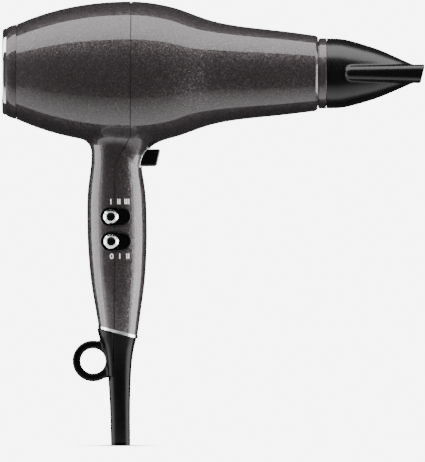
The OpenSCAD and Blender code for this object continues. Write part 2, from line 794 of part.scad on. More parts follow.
// Four leads from the board up the throat: two forward to the heater and two up to the motor.
module wiring_loom() color(copper) for (s = [-1.5, -0.5, 0.5, 1.5]) {
    forward = s > 0;
    start = [2 + 1.7 * s, board_y + board_t, board_top_z - 5];
    throat = [1 + 2.4 * s, 7, throat_z + 5];
    over = forward ? [26, 2 + 3 * s, axis_z - 31] : [18, 2 + 3 * s, axis_z - motor_r - 9];
    goal = forward ? [duct_back_x - 4, 1 + 3 * s, axis_z - 12]
                   : [motor_front_x - 10, 3 * s, axis_z - motor_r - lead_r - 0.4];
    // The leads turn up beside the shelf of the cool-shot switch, however near the board is
    bend = [start[0], max(start[1] + 7, throat[1] - 1), start[2] + 6];
    wire(smooth_path([start, start + [0, 1, 0], start + [0, 2, 0], bend, throat,
                      throat + [3, 1.8 * s - 1.5, 14], over,
                      goal + (forward ? [-9, 0, -4] : [-5, 0, -3]), goal,
                      goal + (forward ? [heater_back_x - duct_back_x + 3, 0, 3] : [6, 0, 0])]),
         lead_r, [-1, 1, 1]);
}

// Points of a smooth curve through 3-D points, 4 steps from each to the next.
function smooth_path(p) =
    [for (i = [0 : len(p) - 2]) for (k = [0 : 3])
        let (a = p[max(i - 1, 0)], b = p[i], c = p[i + 1], d = p[min(i + 2, len(p) - 1)], t = k / 4)
        b * (1 - t) + c * t + (t ^ 3 - 2 * t ^ 2 + t) * ((c - a) / 2 - (c - b))
        + (t ^ 3 - t ^ 2) * ((d - b) / 2 - (c - b)),
     p[len(p) - 1]];

// ---- cool-shot button ----

// The side outline of the button's outer part, extruded across the handle.
module button_space(g) translate([0, button_w / 2 + g, 0]) rotate([90, 0, 0]) linear_extrude(button_w + 2 * g)
    polygon([[button_flange_x - 2, button_z - button_h / 2 - g],
             [button_root_x + button_reach + g, button_z - button_h / 2 - g],
             [button_root_x + button_reach + g, button_z + button_h / 2 + g],
             [button_flange_x - 2, button_z + button_h / 2 + g]]);

module cool_shot_button() color(black_gloss) on_handle() {
    translate([0, button_w / 2, 0]) rotate([90, 0, 0]) linear_extrude(button_w)
        polygon([[button_flange_x + button_flange_t - 1, button_z - button_h / 2],
                 [button_root_x + button_reach - button_slope, button_z - button_h / 2],
                 [button_root_x + button_reach, button_z + button_h / 2],
                 [button_flange_x + button_flange_t - 1, button_z + button_h / 2]]);
    // Flange that keeps the button in, and the shank that reaches the switch
    block([button_flange_x, -button_w / 2 + 1.5, button_z - button_h / 2 - 1.2],
          [button_flange_x + button_flange_t, button_w / 2 - 1.5, button_z + button_h / 2 + 1.2]);
    translate([0, 0, button_z]) rotate([0, 90, 0])
        rod(shank_r, micro_x + micro_len + button_travel + slide_gap, button_flange_x + 0.5);
}

module cool_shot_bezel() color(chrome) on_handle() difference() {
    intersection() {
        block([throat_r - wall - 1, -button_w / 2 - 1, button_z - button_h / 2 - 1],
              [throat_r + 8, button_w / 2 + 1, button_z + button_h / 2 + 1]);
        difference() {
            throat_skin(0.5);
            throat_skin(0);
        }
    }
    button_space(slide_gap);
    // A barrel wide enough to come down to the button cuts the frame short
    rotate([0, handle_lean, 0]) barrel_solid();
}

spring_from = micro_x + micro_len + spring_wire_r * cos(30);
spring_to = button_flange_x - 0.4;
spring_turns = 4;
spring_steps = 14;

module cool_shot_spring() color(steel) on_handle() translate([0, 0, button_z])
    wire([for (i = [0 : spring_turns * spring_steps])
        let (a = 360 / spring_steps * i, x = spring_from + (spring_to - spring_from) * i / spring_turns / spring_steps)
        [x, spring_r * cos(a), spring_r * sin(a)]], spring_wire_r, [1, 0, 0]);

module cool_shot_switch() color(black_matt) on_handle()
    block([micro_x, -micro_w / 2, button_z - micro_drop], [micro_x + micro_len, micro_w / 2, button_z + 4]);

// ---- cord end ----

module trim_ring() color(chrome) on_handle() difference() {
    turned(grip_line, trim_stand, 3);
    trim_cut(-grip_drop + trim_t / 2, 1);
    trim_cut(-grip_drop - trim_t / 2, -1);
    rod(neck_in_r, -grip_drop - 20, -grip_drop + 20);
}

module sleeve_outer(g = 0) turned(sleeve_line, g, 3);

module cord_sleeve() color(black_matt) on_handle() difference() {
    union() {
        difference() {
            sleeve_outer();
            trim_cut(-grip_drop - trim_t / 2, 1);
        }
        rod(neck_in_r, -grip_drop - 10, sleeve_neck_z);
    }
    rod(cord_bore_d / 2, sleeve_end_z - 1, sleeve_neck_z + 1);
}

module hanging_loop() color(black_matt) on_handle() difference() {
    union() {
        translate([loop_x, 0, loop_z]) rotate([90, 0, 0]) rotate_extrude()
            translate([loop_bore_r + loop_t / 2, 0]) polygon(rounded(loop_t, loop_w, 1.6));
        // Strap that hugs the rear of the sleeve
        difference() {
            intersection() {
                sleeve_outer(strap_t);
                block([-far, -far, loop_z - 10.5], [-sleeve_r * 0.62, far, 0]);
            }
            trim_cut(-grip_drop - trim_t / 2, 1);
        }
    }
    sleeve_outer();
    translate([loop_x, 0, loop_z]) cross_rod(loop_bore_r, -20, 20);
}

module cable_clamp() color(black_matt) on_handle() difference() {
    block([-8.5, -5.5, clamp_z], [8.5, 5.5, clamp_z + clamp_h]);
    rod(cord_bore_d / 2 + 0.3, clamp_z - 1, clamp_z + clamp_h + 1);
    for (s = [-1, 1]) translate([s * 6.2, 0, clamp_z + clamp_h / 2]) cross_rod(1.2, -6, 6);
}

module cable_clamp_screws() color(steel) on_handle()
    for (s = [-1, 1]) translate([s * 6.2, -5.5, clamp_z + clamp_h / 2]) rotate([90, 0, 0]) screw(1.2, 2, 1.2, 10);

// ---- nozzle ----

module nozzle_clip() color(steel) on_barrel() tube(socket_r + 0.75, duct_r + 0.05, clip_x, clip_x + clip_w);

// A flat flaring duct from a start section to an end section, with round sides.
module flare(from, to, w0, h0, w1, h1) hull() {
    for (e = [[from, w0, h0], [to, w1, h1]]) translate([e[0], 0, axis_z]) rotate([90, 0, 90])
        linear_extrude(0.2) {
            square([e[1] - e[2], e[2]], center = true);
            for (s = [-1, 1]) translate([s * (e[1] - e[2]) / 2, 0]) circle(d = e[2], $fn = 24);
        }
}

module nozzle() color(black_matt) difference() {
    union() {
        on_barrel() turned(ogive_line, 0, 3);
        difference() {
            flare(slot_start_x, nozzle_tip_x + 3, slot_start_w, slot_start_h, slot_w, slot_h);
            translate([nozzle_tip_x - slot_h / 2 * tan(tip_lean), 0, axis_z]) rotate([0, tip_lean, 0])
                translate([0, -far / 2, -far / 2]) cube(far);
        }
    }
    // Inside: the socket, the funnel and the slot
    on_barrel() {
        rod(socket_r, nozzle_x - 1, nozzle_x + socket_len);
        turned(concat([[nozzle_x + socket_len - 1, ogive_r - nozzle_wall - 1.2]],
                      [for (p = ogive_line) if (p[0] > nozzle_x + socket_len + 2) [p[0] - nozzle_wall * 0.6, p[1] - nozzle_wall]]),
               0, 3);
        rod(socket_r + 0.95, clip_x - 0.15, clip_x + clip_w + 0.15);
    }
    flare(slot_start_x + 3, nozzle_tip_x + 4, slot_start_w - 2 * nozzle_wall, slot_start_h - 2 * nozzle_wall,
          slot_w - 2 * nozzle_wall, slot_h - 2 * nozzle_wall);
}

// ---- which piece to draw ----

front_shell();
rear_shell();
outlet_collar();
heater_duct();
outlet_grille();
heater_liner();
heater_frame();
heating_coils();
thermal_cutout();
motor_mount();
motor_mount_screws();
motor_stator();
field_coils();
rear_motor_bracket();
front_motor_bracket();
rear_bush();
front_bush();
brush_holders();
carbon_brushes();
motor_shaft();
armature();
commutator();
fan();
fan_nut();
rear_cap();
rear_bead();
rear_grille();
filter_screen();
heat_bezel();
heat_switch();
heat_knob();
heat_knob_ring();
heat_marks();
speed_bezel();
speed_switch();
speed_knob();
speed_knob_ring();
speed_marks();
switch_board();
board_screws();
terminal_block();
wiring_loom();
cool_shot_button();
cool_shot_bezel();
cool_shot_spring();
cool_shot_switch();
trim_ring();
cord_sleeve();
hanging_loop();
cable_clamp();
cable_clamp_screws();
nozzle_clip();
nozzle();
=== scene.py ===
"""Looks of a hand-held hair dryer with a concentrator nozzle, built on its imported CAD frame.

Lengths are in metres in the dryer's own frame: +X runs along the barrel to the air outlet, +Z up the
handle, and the switches face -Y.
"""

from __future__ import annotations

import json
import logging
import math
from collections.abc import Callable, Sequence
from dataclasses import dataclass, field
from enum import Enum

import bmesh
import bpy
import numpy as np
import openvdb
from mathutils import Matrix, Vector

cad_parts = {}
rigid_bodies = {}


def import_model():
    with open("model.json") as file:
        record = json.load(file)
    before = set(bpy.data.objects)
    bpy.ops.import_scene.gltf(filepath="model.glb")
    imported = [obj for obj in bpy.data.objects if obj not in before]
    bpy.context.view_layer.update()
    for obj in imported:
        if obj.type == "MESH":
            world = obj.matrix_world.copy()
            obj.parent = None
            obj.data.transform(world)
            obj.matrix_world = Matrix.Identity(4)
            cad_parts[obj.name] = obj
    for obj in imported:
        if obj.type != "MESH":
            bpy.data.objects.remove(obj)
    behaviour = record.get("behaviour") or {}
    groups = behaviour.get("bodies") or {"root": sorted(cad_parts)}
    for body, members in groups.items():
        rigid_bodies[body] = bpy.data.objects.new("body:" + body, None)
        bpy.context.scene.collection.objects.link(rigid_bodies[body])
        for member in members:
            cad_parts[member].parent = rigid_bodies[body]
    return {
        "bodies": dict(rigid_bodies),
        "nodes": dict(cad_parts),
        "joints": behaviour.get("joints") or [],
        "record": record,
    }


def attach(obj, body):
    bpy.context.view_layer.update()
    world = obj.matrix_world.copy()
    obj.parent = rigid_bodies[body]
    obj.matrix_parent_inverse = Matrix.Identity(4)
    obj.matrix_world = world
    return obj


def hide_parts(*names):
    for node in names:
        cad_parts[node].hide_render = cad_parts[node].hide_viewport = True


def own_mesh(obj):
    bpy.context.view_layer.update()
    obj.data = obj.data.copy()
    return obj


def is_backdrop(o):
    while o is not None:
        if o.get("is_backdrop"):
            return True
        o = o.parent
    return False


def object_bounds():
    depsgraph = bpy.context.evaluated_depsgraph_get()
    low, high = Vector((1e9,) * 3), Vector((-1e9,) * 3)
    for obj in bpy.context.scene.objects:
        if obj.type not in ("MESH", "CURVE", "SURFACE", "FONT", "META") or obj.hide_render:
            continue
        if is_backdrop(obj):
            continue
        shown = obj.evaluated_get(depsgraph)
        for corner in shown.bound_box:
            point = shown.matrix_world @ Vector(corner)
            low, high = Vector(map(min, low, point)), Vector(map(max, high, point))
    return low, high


log = logging.getLogger("hair_dryer")

MM = 0.001
AXIS_Z = 97.0 * MM
LEAN = math.radians(1.23)
# The trim ring between handle and sleeve slants by this
TRIM_SLOPE = math.radians(15.3)
Scalar = Callable[[np.ndarray], np.ndarray]


# ---------------------------------------------------------------- colours and nodes


def linear(hex_colour: str, alpha: float = 1.0) -> tuple[float, float, float, float]:
    """Turns an sRGB hex colour into the linear values that shaders use.

    Args:
        hex_colour: Such as "#4b4648".
        alpha: The fourth value.

    Returns:
        Red, green, blue and alpha, linear.
    """
    channels = [int(hex_colour[i : i + 2], 16) / 255 for i in (1, 3, 5)]
    r, g, b = (c / 12.92 if c <= 0.04045 else ((c + 0.055) / 1.055) ** 2.4 for c in channels)
    return r, g, b, alpha


def add_node(tree: bpy.types.NodeTree, kind: str, settings: dict | None = None, **inputs: object) -> bpy.types.Node:
    """Adds one node with its settings, values and incoming links.

    Args:
        tree: The node tree to add to.
        kind: The node's type name.
        settings: Attributes set on the node itself.
        **inputs: Socket name, with underscores for spaces, to a value or to an output socket to link.
            A name such as in_1 means the input with that number.

    Returns:
        The new node.
    """
    node = tree.nodes.new(kind)
    for name, value in (settings or {}).items():
        setattr(node, name, value)
    for name, value in inputs.items():
        socket = node.inputs[int(name[3:])] if name.startswith("in_") else node.inputs[name.replace("_", " ")]
        if isinstance(value, bpy.types.NodeSocket):
            tree.links.new(value, socket)
        else:
            socket.default_value = value
    return node


class Sheen(Enum):
    """How a moulded surface was finished."""

    POLISHED = "polished"
    SATIN = "satin"
    SPARKED = "sparked"


@dataclass(frozen=True)
class Finish:
    """A finish that can be laid on a piece as a material."""

    name: str
    colour: str

    def shader(self, tree: bpy.types.NodeTree) -> bpy.types.Node:
        """Adds the finish's nodes.

        Args:
            tree: The material's node tree.

        Returns:
            The main shader node.
        """
        raise NotImplementedError

    def material(self) -> bpy.types.Material:
        """Makes the finish's material, once.

        Returns:
            The material, the same one each time.
        """
        found = bpy.data.materials.get(self.name)
        if found:
            return found
        made = bpy.data.materials.new(self.name)
        made.use_nodes = True
        tree = made.node_tree
        tree.nodes.clear()
        shader = self.shader(tree)
        add_node(tree, "ShaderNodeOutputMaterial", Surface=shader.outputs[0])
        made.diffuse_color = linear(self.colour)
        return made


def coordinates(tree: bpy.types.NodeTree) -> bpy.types.NodeSocket:
    """Adds object coordinates, in metres, and returns their socket."""
    return add_node(tree, "ShaderNodeTexCoord").outputs["Object"]


def per_mm(size_mm: float) -> float:
    """Texture scale at which one cell of the pattern is this many millimetres across."""
    return 1000.0 / size_mm


@dataclass(frozen=True)
class FlakeLacquer(Finish):
    """Metallic lacquer: aluminium flakes in a tinted base under a polished clear coat.

    The flakes lie nearly flat, each tilted a little its own way, so single ones flash beside a
    reflection while the clear coat over them stays a clean mirror.
    """

    # Real flakes are about 0.03 mm across, too fine to show, so they are drawn coarser
    flake_mm: float = 0.45
    # The sprayed coat's own cloudiness
    cloud_mm: float = 1.6
    tilt: float = 0.19
    metallic: float = 0.58
    roughness: float = 0.3
    sparkle: float = 0.09
    # Flakes look darker where they are seen edge-on
    edge: tuple[float, float, float, float] = (0.15, 0.15, 0.15, 1.0)

    def shader(self, tree: bpy.types.NodeTree) -> bpy.types.Node:
        """Adds the lacquer's shader with its flakes.

        Args:
            tree: The material's node tree.

        Returns:
            The main shader node.
        """
        at = coordinates(tree)
        flakes = add_node(tree, "ShaderNodeTexVoronoi", {"feature": "F1"}, Vector=at, Scale=per_mm(self.flake_mm))
        # Each flake's own direction, as a random vector from -1 to 1
        spread = add_node(tree, "ShaderNodeVectorMath", {"operation": "MULTIPLY_ADD"}, in_0=flakes.outputs["Color"],
                          in_1=(2.0, 2.0, 2.0), in_2=(-1.0, -1.0, -1.0))
        normal = add_node(tree, "ShaderNodeNewGeometry").outputs["Normal"]
        tilted = add_node(tree, "ShaderNodeVectorMath", {"operation": "MULTIPLY_ADD"}, in_0=spread.outputs[0],
                          in_1=(self.tilt,) * 3, in_2=normal)
        flake_normal = add_node(tree, "ShaderNodeVectorMath", {"operation": "NORMALIZE"}, in_0=tilted.outputs[0])
        # About a quarter of the flakes are turned up bright
        shade = add_node(tree, "ShaderNodeSeparateColor", Color=flakes.outputs["Color"])
        bright = add_node(tree, "ShaderNodeMapRange", Value=shade.outputs[0], From_Min=0.72, From_Max=1.0, To_Min=0.0,
                          To_Max=self.sparkle)
        mottle = add_node(tree, "ShaderNodeTexNoise", Vector=at, Scale=per_mm(self.cloud_mm), Detail=3.0)
        depth = add_node(tree, "ShaderNodeMapRange", Value=mottle.outputs[0], From_Min=0.3, From_Max=0.7,
                         To_Min=0.88, To_Max=1.12)
        base = add_node(tree, "ShaderNodeMix", {"data_type": "RGBA"}, in_0=bright.outputs[0],
                        in_6=linear(self.colour), in_7=linear("#cfc9c8"))
        toned = add_node(tree, "ShaderNodeVectorMath", {"operation": "SCALE"}, in_0=base.outputs[2],
                         Scale=depth.outputs[0])
        return add_node(tree, "ShaderNodeBsdfPrincipled", Base_Color=toned.outputs[0], Metallic=self.metallic,
                        Roughness=self.roughness, Normal=flake_normal.outputs[0], Coat_Weight=1.0,
                        Coat_Roughness=0.02, Coat_IOR=1.5, Specular_Tint=self.edge)


@dataclass(frozen=True)
class MouldedPlastic(Finish):
    """Injection-moulded plastic; its gloss comes from how the mould's steel was finished.

    A polished mould gives a mirror skin, a satin one a soft even sheen, and a spark-eroded one the fine
    dimpled grain that hides finger marks.
    """

    sheen: Sheen = Sheen.SATIN
    roughness: float = 0.4
    # Slow change of gloss and tone over a moulding
    cloud_mm: float = 14.0

    def shader(self, tree: bpy.types.NodeTree) -> bpy.types.Node:
        """Adds the plastic's shader.

        Args:
            tree: The material's node tree.

        Returns:
            The main shader node.
        """
        at = coordinates(tree)
        # Grain across in mm and its relief. Real spark and satin grain is near 0.05 mm, drawn coarser to show
        grain_mm, height = {
            Sheen.POLISHED: (3.0, 0.02),
            Sheen.SATIN: (0.5, 0.06),
            Sheen.SPARKED: (0.35, 0.25),
        }[self.sheen]
        grain = add_node(tree, "ShaderNodeTexNoise", Vector=at, Scale=per_mm(grain_mm), Detail=4.0)
        bump = add_node(tree, "ShaderNodeBump", Height=grain.outputs[0], Strength=height, Distance=0.05 * MM)
        cloud = add_node(tree, "ShaderNodeTexNoise", Vector=at, Scale=per_mm(self.cloud_mm), Detail=5.0)
        rough = add_node(tree, "ShaderNodeMapRange", Value=cloud.outputs[0], From_Min=0.3, From_Max=0.7,
                         To_Min=self.roughness * 0.85, To_Max=self.roughness * 1.15)
        tone = add_node(tree, "ShaderNodeMapRange", Value=cloud.outputs[0], From_Min=0.3, From_Max=0.7,
                        To_Min=0.92, To_Max=1.08)
        colour = add_node(tree, "ShaderNodeVectorMath", {"operation": "SCALE"}, in_0=linear(self.colour)[:3],
                          Scale=tone.outputs[0])
        return add_node(tree, "ShaderNodeBsdfPrincipled", Base_Color=colour.outputs[0],
                        Roughness=rough.outputs[0], Normal=bump.outputs[0], IOR=1.5)


@dataclass(frozen=True)
class SoftRubber(Finish):
    """Thermoplastic rubber, moulded: a blotting, slightly dusty black that lights up only at its edges."""

    roughness: float = 0.5
    # The real grain is near 0.1 mm, drawn coarser to show
    grain_mm: float = 0.6
    # Handling leaves smoother and duller patches
    wear_mm: float = 9.0

    def shader(self, tree: bpy.types.NodeTree) -> bpy.types.Node:
        """Adds the rubber's shader.

        Args:
            tree: The material's node tree.

        Returns:
            The main shader node.
        """
        at = coordinates(tree)
        grain = add_node(tree, "ShaderNodeTexNoise", Vector=at, Scale=per_mm(self.grain_mm), Detail=5.0, Roughness=0.6)
        bump = add_node(tree, "ShaderNodeBump", Height=grain.outputs[0], Strength=0.12, Distance=0.06 * MM)
        wear = add_node(tree, "ShaderNodeTexNoise", Vector=at, Scale=per_mm(self.wear_mm), Detail=6.0)
        rough = add_node(tree, "ShaderNodeMapRange", Value=wear.outputs[0], From_Min=0.3, From_Max=0.7,
                         To_Min=self.roughness * 0.8, To_Max=self.roughness * 1.3)
        tone = add_node(tree, "ShaderNodeMapRange", Value=wear.outputs[0], From_Min=0.35, From_Max=0.75,
                        To_Min=0.85, To_Max=1.25)
        colour = add_node(tree, "ShaderNodeVectorMath", {"operation": "SCALE"}, in_0=linear(self.colour)[:3],
                          Scale=tone.outputs[0])
        return add_node(tree, "ShaderNodeBsdfPrincipled", Base_Color=colour.outputs[0],
                        Roughness=rough.outputs[0], Normal=bump.outputs[0], IOR=1.52, Specular_IOR_Level=0.1)


@dataclass(frozen=True)
class Metal(Finish):
    """Bare or plated metal. Fine scratches or drawing lines break its mirror up along one direction."""

    roughness: float = 0.25
    scratch: float = 0.1
    grain: tuple[float, float, float] = (1.0, 1.0, 1.0)
    # Real scratches are a few hundredths of a millimetre apart, drawn coarser to show
    scratch_mm: float = 0.4

    def shader(self, tree: bpy.types.NodeTree) -> bpy.types.Node:
        """Adds the metal's shader.

        Args:
            tree: The material's node tree.

        Returns:
            The main shader node.
        """
        at = coordinates(tree)
        stretched = add_node(tree, "ShaderNodeVectorMath", {"operation": "MULTIPLY"}, in_0=at, in_1=self.grain)
        lines = add_node(tree, "ShaderNodeTexNoise", Vector=stretched.outputs[0], Scale=per_mm(self.scratch_mm),
                         Detail=4.0)
        bump = add_node(tree, "ShaderNodeBump", Height=lines.outputs[0], Strength=self.scratch,
                        Distance=0.02 * MM)
        rough = add_node(tree, "ShaderNodeMapRange", Value=lines.outputs[0], From_Min=0.3, From_Max=0.7,
                         To_Min=self.roughness * 0.7, To_Max=self.roughness * 1.3)
        return add_node(tree, "ShaderNodeBsdfPrincipled", Base_Color=linear(self.colour), Metallic=1.0,
                        Roughness=rough.outputs[0], Normal=bump.outputs[0])


@dataclass(frozen=True)
class Layered(Finish):
    """Pressed sheet such as mica or laminate: cloudy layers that show as streaks."""

    second: str = "#8f7d55"
    streak_mm: float = 5.0

    def shader(self, tree: bpy.types.NodeTree) -> bpy.types.Node:
        """Adds the sheet's shader.

        Args:
            tree: The material's node tree.

        Returns:
            The main shader node.
        """
        at = coordinates(tree)
        streaks = add_node(tree, "ShaderNodeTexNoise", Vector=at, Scale=per_mm(self.streak_mm), Detail=6.0,
                           Distortion=0.8)
        colour = add_node(tree, "ShaderNodeMix", {"data_type": "RGBA"}, in_0=streaks.outputs[0],
                          in_6=linear(self.colour), in_7=linear(self.second))
        bump = add_node(tree, "ShaderNodeBump", Height=streaks.outputs[0], Strength=0.2, Distance=0.1 * MM)
        return add_node(tree, "ShaderNodeBsdfPrincipled", Base_Color=colour.outputs[2], Roughness=0.5,
                        Normal=bump.outputs[0])


LACQUER = FlakeLacquer("metallic_flake_lacquer", "#403b3c")
COLLAR_LACQUER = FlakeLacquer("silver_flake_lacquer", "#4e494a", metallic=0.7, roughness=0.3)
NOZZLE_PLASTIC = MouldedPlastic("satin_black_nylon", "#060607", Sheen.SATIN, 0.27)
GLOSS_BLACK = MouldedPlastic("polished_black_abs", "#060607", Sheen.POLISHED, 0.06)
BLACK_PLASTIC = MouldedPlastic("sparked_black_nylon", "#1d1d1e", Sheen.SPARKED, 0.5)
HEAT_PLASTIC = MouldedPlastic("heat_proof_black_resin", "#1a1a1b", Sheen.SPARKED, 0.55)
FAN_PLASTIC = MouldedPlastic("moulded_ivory_nylon", "#d8d3c8", Sheen.SATIN, 0.45)
CERAMIC = MouldedPlastic("glazed_steatite", "#e6e1d6", Sheen.POLISHED, 0.15)
PRINT = MouldedPlastic("white_pad_print", "#f4f4f2", Sheen.SATIN, 0.45)
LEAD = MouldedPlastic("silicone_lead_insulation", "#7a2f2a", Sheen.SATIN, 0.5)
CARBON = MouldedPlastic("pressed_carbon", "#2b2a29", Sheen.SPARKED, 0.6)
RUBBER = SoftRubber("moulded_black_rubber", "#060607", 0.2)
CHROME = Metal("polished_chrome_plate", "#e3e4e6", 0.06, 0.03)
STEEL = Metal("zinc_plated_steel", "#a9acb0", 0.3, 0.15, (0.2, 1.0, 1.0))
WIRE = Metal("drawn_resistance_wire", "#a39b90", 0.35, 0.2)
MESH_WIRE = Metal("woven_stainless_wire", "#8f9296", 0.3, 0.15)
COPPER = Metal("enamelled_copper", "#b06a3a", 0.3, 0.2)
BRONZE = Metal("sintered_bronze", "#a57c45", 0.45, 0.4)
MICA = Layered("mica_sheet", "#c4b285", "#a08d60")
BOARD = Layered("phenolic_laminate", "#8c6a3b", "#6f5029", 3.0)

SLOT_FINISHES: dict[str, Finish] = {
    "lacquer": LACQUER, "heat_plastic": HEAT_PLASTIC, "mica": MICA,
    "resistance_wire": WIRE, "ceramic": CERAMIC, "black_plastic": BLACK_PLASTIC, "steel": STEEL,
    "copper": COPPER, "bronze": BRONZE, "board": BOARD, "carbon": CARBON, "fan_plastic": FAN_PLASTIC,
    "gloss_black": GLOSS_BLACK, "mesh": MESH_WIRE, "chrome": CHROME, "print": PRINT, "lead": LEAD,
    "rubber": RUBBER, "satin_black": NOZZLE_PLASTIC,
}


# ---------------------------------------------------------------- curves and meshes


@dataclass
class Curve:
    """A natural cubic spline through points, straight beyond its ends."""

    points: Sequence[tuple[float, float]]
    xs: np.ndarray = field(init=False)
    ys: np.ndarray = field(init=False)
    bend: np.ndarray = field(init=False)

    def __post_init__(self) -> None:
        """Solves the spline's second derivatives."""
        self.xs, self.ys = np.array(self.points, float).T
        n, h = len(self.xs), np.diff(self.xs)
        rows, right = np.eye(n), np.zeros(n)
        for i in range(1, n - 1):
            rows[i, i - 1 : i + 2] = h[i - 1], 2 * (h[i - 1] + h[i]), h[i]
            right[i] = 6 * ((self.ys[i + 1] - self.ys[i]) / h[i] - (self.ys[i] - self.ys[i - 1]) / h[i - 1])
        self.bend = np.linalg.solve(rows, right)

    def at(self, x: np.ndarray) -> tuple[np.ndarray, np.ndarray]:
        """Height and slope of the curve.

        Args:
            x: Where to read it.

        Returns:
            The heights and the slopes.
        """
        inside = np.clip(x, self.xs[0], self.xs[-1])
        i = np.clip(np.searchsorted(self.xs, inside) - 1, 0, len(self.xs) - 2)
        h = self.xs[i + 1] - self.xs[i]
        a, b = (self.xs[i + 1] - inside) / h, (inside - self.xs[i]) / h
        y = a * self.ys[i] + b * self.ys[i + 1] + ((a**3 - a) * self.bend[i] + (b**3 - b) * self.bend[i + 1]) * h**2 / 6
        slope = (self.ys[i + 1] - self.ys[i]) / h + (
            (1 - 3 * a**2) * self.bend[i] + (3 * b**2 - 1) * self.bend[i + 1]) * h / 6
        return y + (x - inside) * slope, slope


def in_mm(*pairs: tuple[float, float]) -> list[tuple[float, float]]:
    """Turns pairs in millimetres into metres."""
    return [(a * MM, b * MM) for a, b in pairs]


def soft_min(a: np.ndarray, b: np.ndarray, k: np.ndarray | float) -> np.ndarray:
    """The smaller of two distances, with a fillet of size k where they meet.

    Args:
        a: The first distance.
        b: The second.
        k: The fillet's size.

    Returns:
        The blended distance.
    """
    h = np.maximum(k - np.abs(a - b), 0) / k
    return np.minimum(a, b) - h * h * k / 4


def soft_max(a: np.ndarray, b: np.ndarray, k: np.ndarray | float) -> np.ndarray:
    """The larger of two distances, with a rounding of size k where they meet."""
    return -soft_min(-a, -b, k)


def smooth_step(share: np.ndarray) -> np.ndarray:
    """A share, clipped to 0 to 1, that starts and ends gently."""
    share = np.clip(share, 0, 1)
    return share**2 * (3 - 2 * share)


def rounded_box(a: np.ndarray, b: np.ndarray, corner: float) -> np.ndarray:
    """Signed distance from a rectangle with rounded corners.

    Args:
        a: Distance outside its sides one way.
        b: Distance outside its sides the other way.
        corner: The corners' radius.

    Returns:
        The distance, negative inside.
    """
    a, b = a + corner, b + corner
    return np.hypot(np.maximum(a, 0), np.maximum(b, 0)) + np.minimum(np.maximum(a, b), 0) - corner


def to_handle(p: np.ndarray) -> np.ndarray:
    """Turns points in the dryer's frame into the leaned handle's own axes.

    Args:
        p: Points in the dryer's frame.

    Returns:
        The points along the handle's axes.
    """
    x = p[..., 0] * math.cos(LEAN) + p[..., 2] * math.sin(LEAN)
    z = -p[..., 0] * math.sin(LEAN) + p[..., 2] * math.cos(LEAN)
    return np.stack([x, p[..., 1], z], -1)


ON_BARREL = Matrix.Translation((0, 0, AXIS_Z)) @ Matrix.Rotation(math.pi / 2, 4, "Y")
ON_HANDLE = Matrix.Rotation(-LEAN, 4, "Y")


class Skin:
    """A smooth surface given by a distance function, meshed evenly."""

    def __init__(self, distance: Scalar, low: Sequence[float], high: Sequence[float], cell: float) -> None:
        """Samples the distance on a grid and meshes its zero surface.

        Args:
            distance: Signed distance from points, negative inside.
            low: Low corner of the space to mesh.
            high: High corner.
            cell: Size of the mesh's squares.
        """
        self.distance = distance
        shape = [int((h - l) / cell) + 2 for l, h in zip(low, high)]
        axes = [np.arange(n) * cell + l for n, l in zip(shape, low)]
        values = np.empty(shape, np.float32)
        for i, x in enumerate(axes[0]):
            y, z = np.meshgrid(axes[1], axes[2], indexing="ij")
            values[i] = distance(np.stack([np.full_like(y, x), y, z], -1)) / cell
        grid = openvdb.FloatGrid(4.0)
        grid.copyFromArray(np.clip(values, -4, 4))
        points, quads = grid.convertToQuads(isovalue=0.0)
        self.points = points.astype(float) * cell + np.array(low)
        self.quads = quads.astype(int)
        self._relax(cell)

    def gradient(self, p: np.ndarray) -> np.ndarray:
        """The distance's gradient.

        Args:
            p: Points in the dryer's frame.

        Returns:
            The gradient at each point.
        """
        step, out = 0.02 * MM, []
        for k in range(3):
            d = np.zeros(3)
            d[k] = step
            out.append((self.distance(p + d) - self.distance(p - d)) / (2 * step))
        return np.stack(out, -1)

    def _project(self) -> np.ndarray:
        """Moves the points onto the surface.

        Returns:
            The normals there.
        """
        for _ in range(3):
            g = self.gradient(self.points)
            self.points -= g * (self.distance(self.points) / np.maximum((g * g).sum(-1), 1e-6))[:, None]
        g = self.gradient(self.points)
        return g / np.linalg.norm(g, axis=1, keepdims=True)

    def _relax(self, cell: float) -> None:
        """Evens the mesh out along the surface.

        Args:
            cell: Size of the mesh's squares, which no move is over.
        """
        edges = np.concatenate([self.quads[:, [k, (k + 1) % 4]] for k in range(4)])
        count = np.bincount(edges.ravel(), minlength=len(self.points)).astype(float)
        for _ in range(6):
            n = self._project()
            total = np.zeros_like(self.points)
            for a, b in ((0, 1), (1, 0)):
                for k in range(3):
                    total[:, k] += np.bincount(edges[:, a], self.points[edges[:, b], k], len(self.points))
            move = total / count[:, None] - self.points
            move -= n * (move * n).sum(-1, keepdims=True)
            self.points += 0.5 * np.clip(move, -cell, cell)
        self._project()

    def bmesh(self) -> bmesh.types.BMesh:
        """Makes the surface's mesh, facing outwards.

        Returns:
            A new bmesh each time.
        """
        made = bmesh.new()
        corners = [made.verts.new(p) for p in self.points]
        for q in self.quads:
            try:
                made.faces.new([corners[i] for i in q])
            except ValueError:
                continue
        bmesh.ops.recalc_face_normals(made, faces=made.faces)
        return made


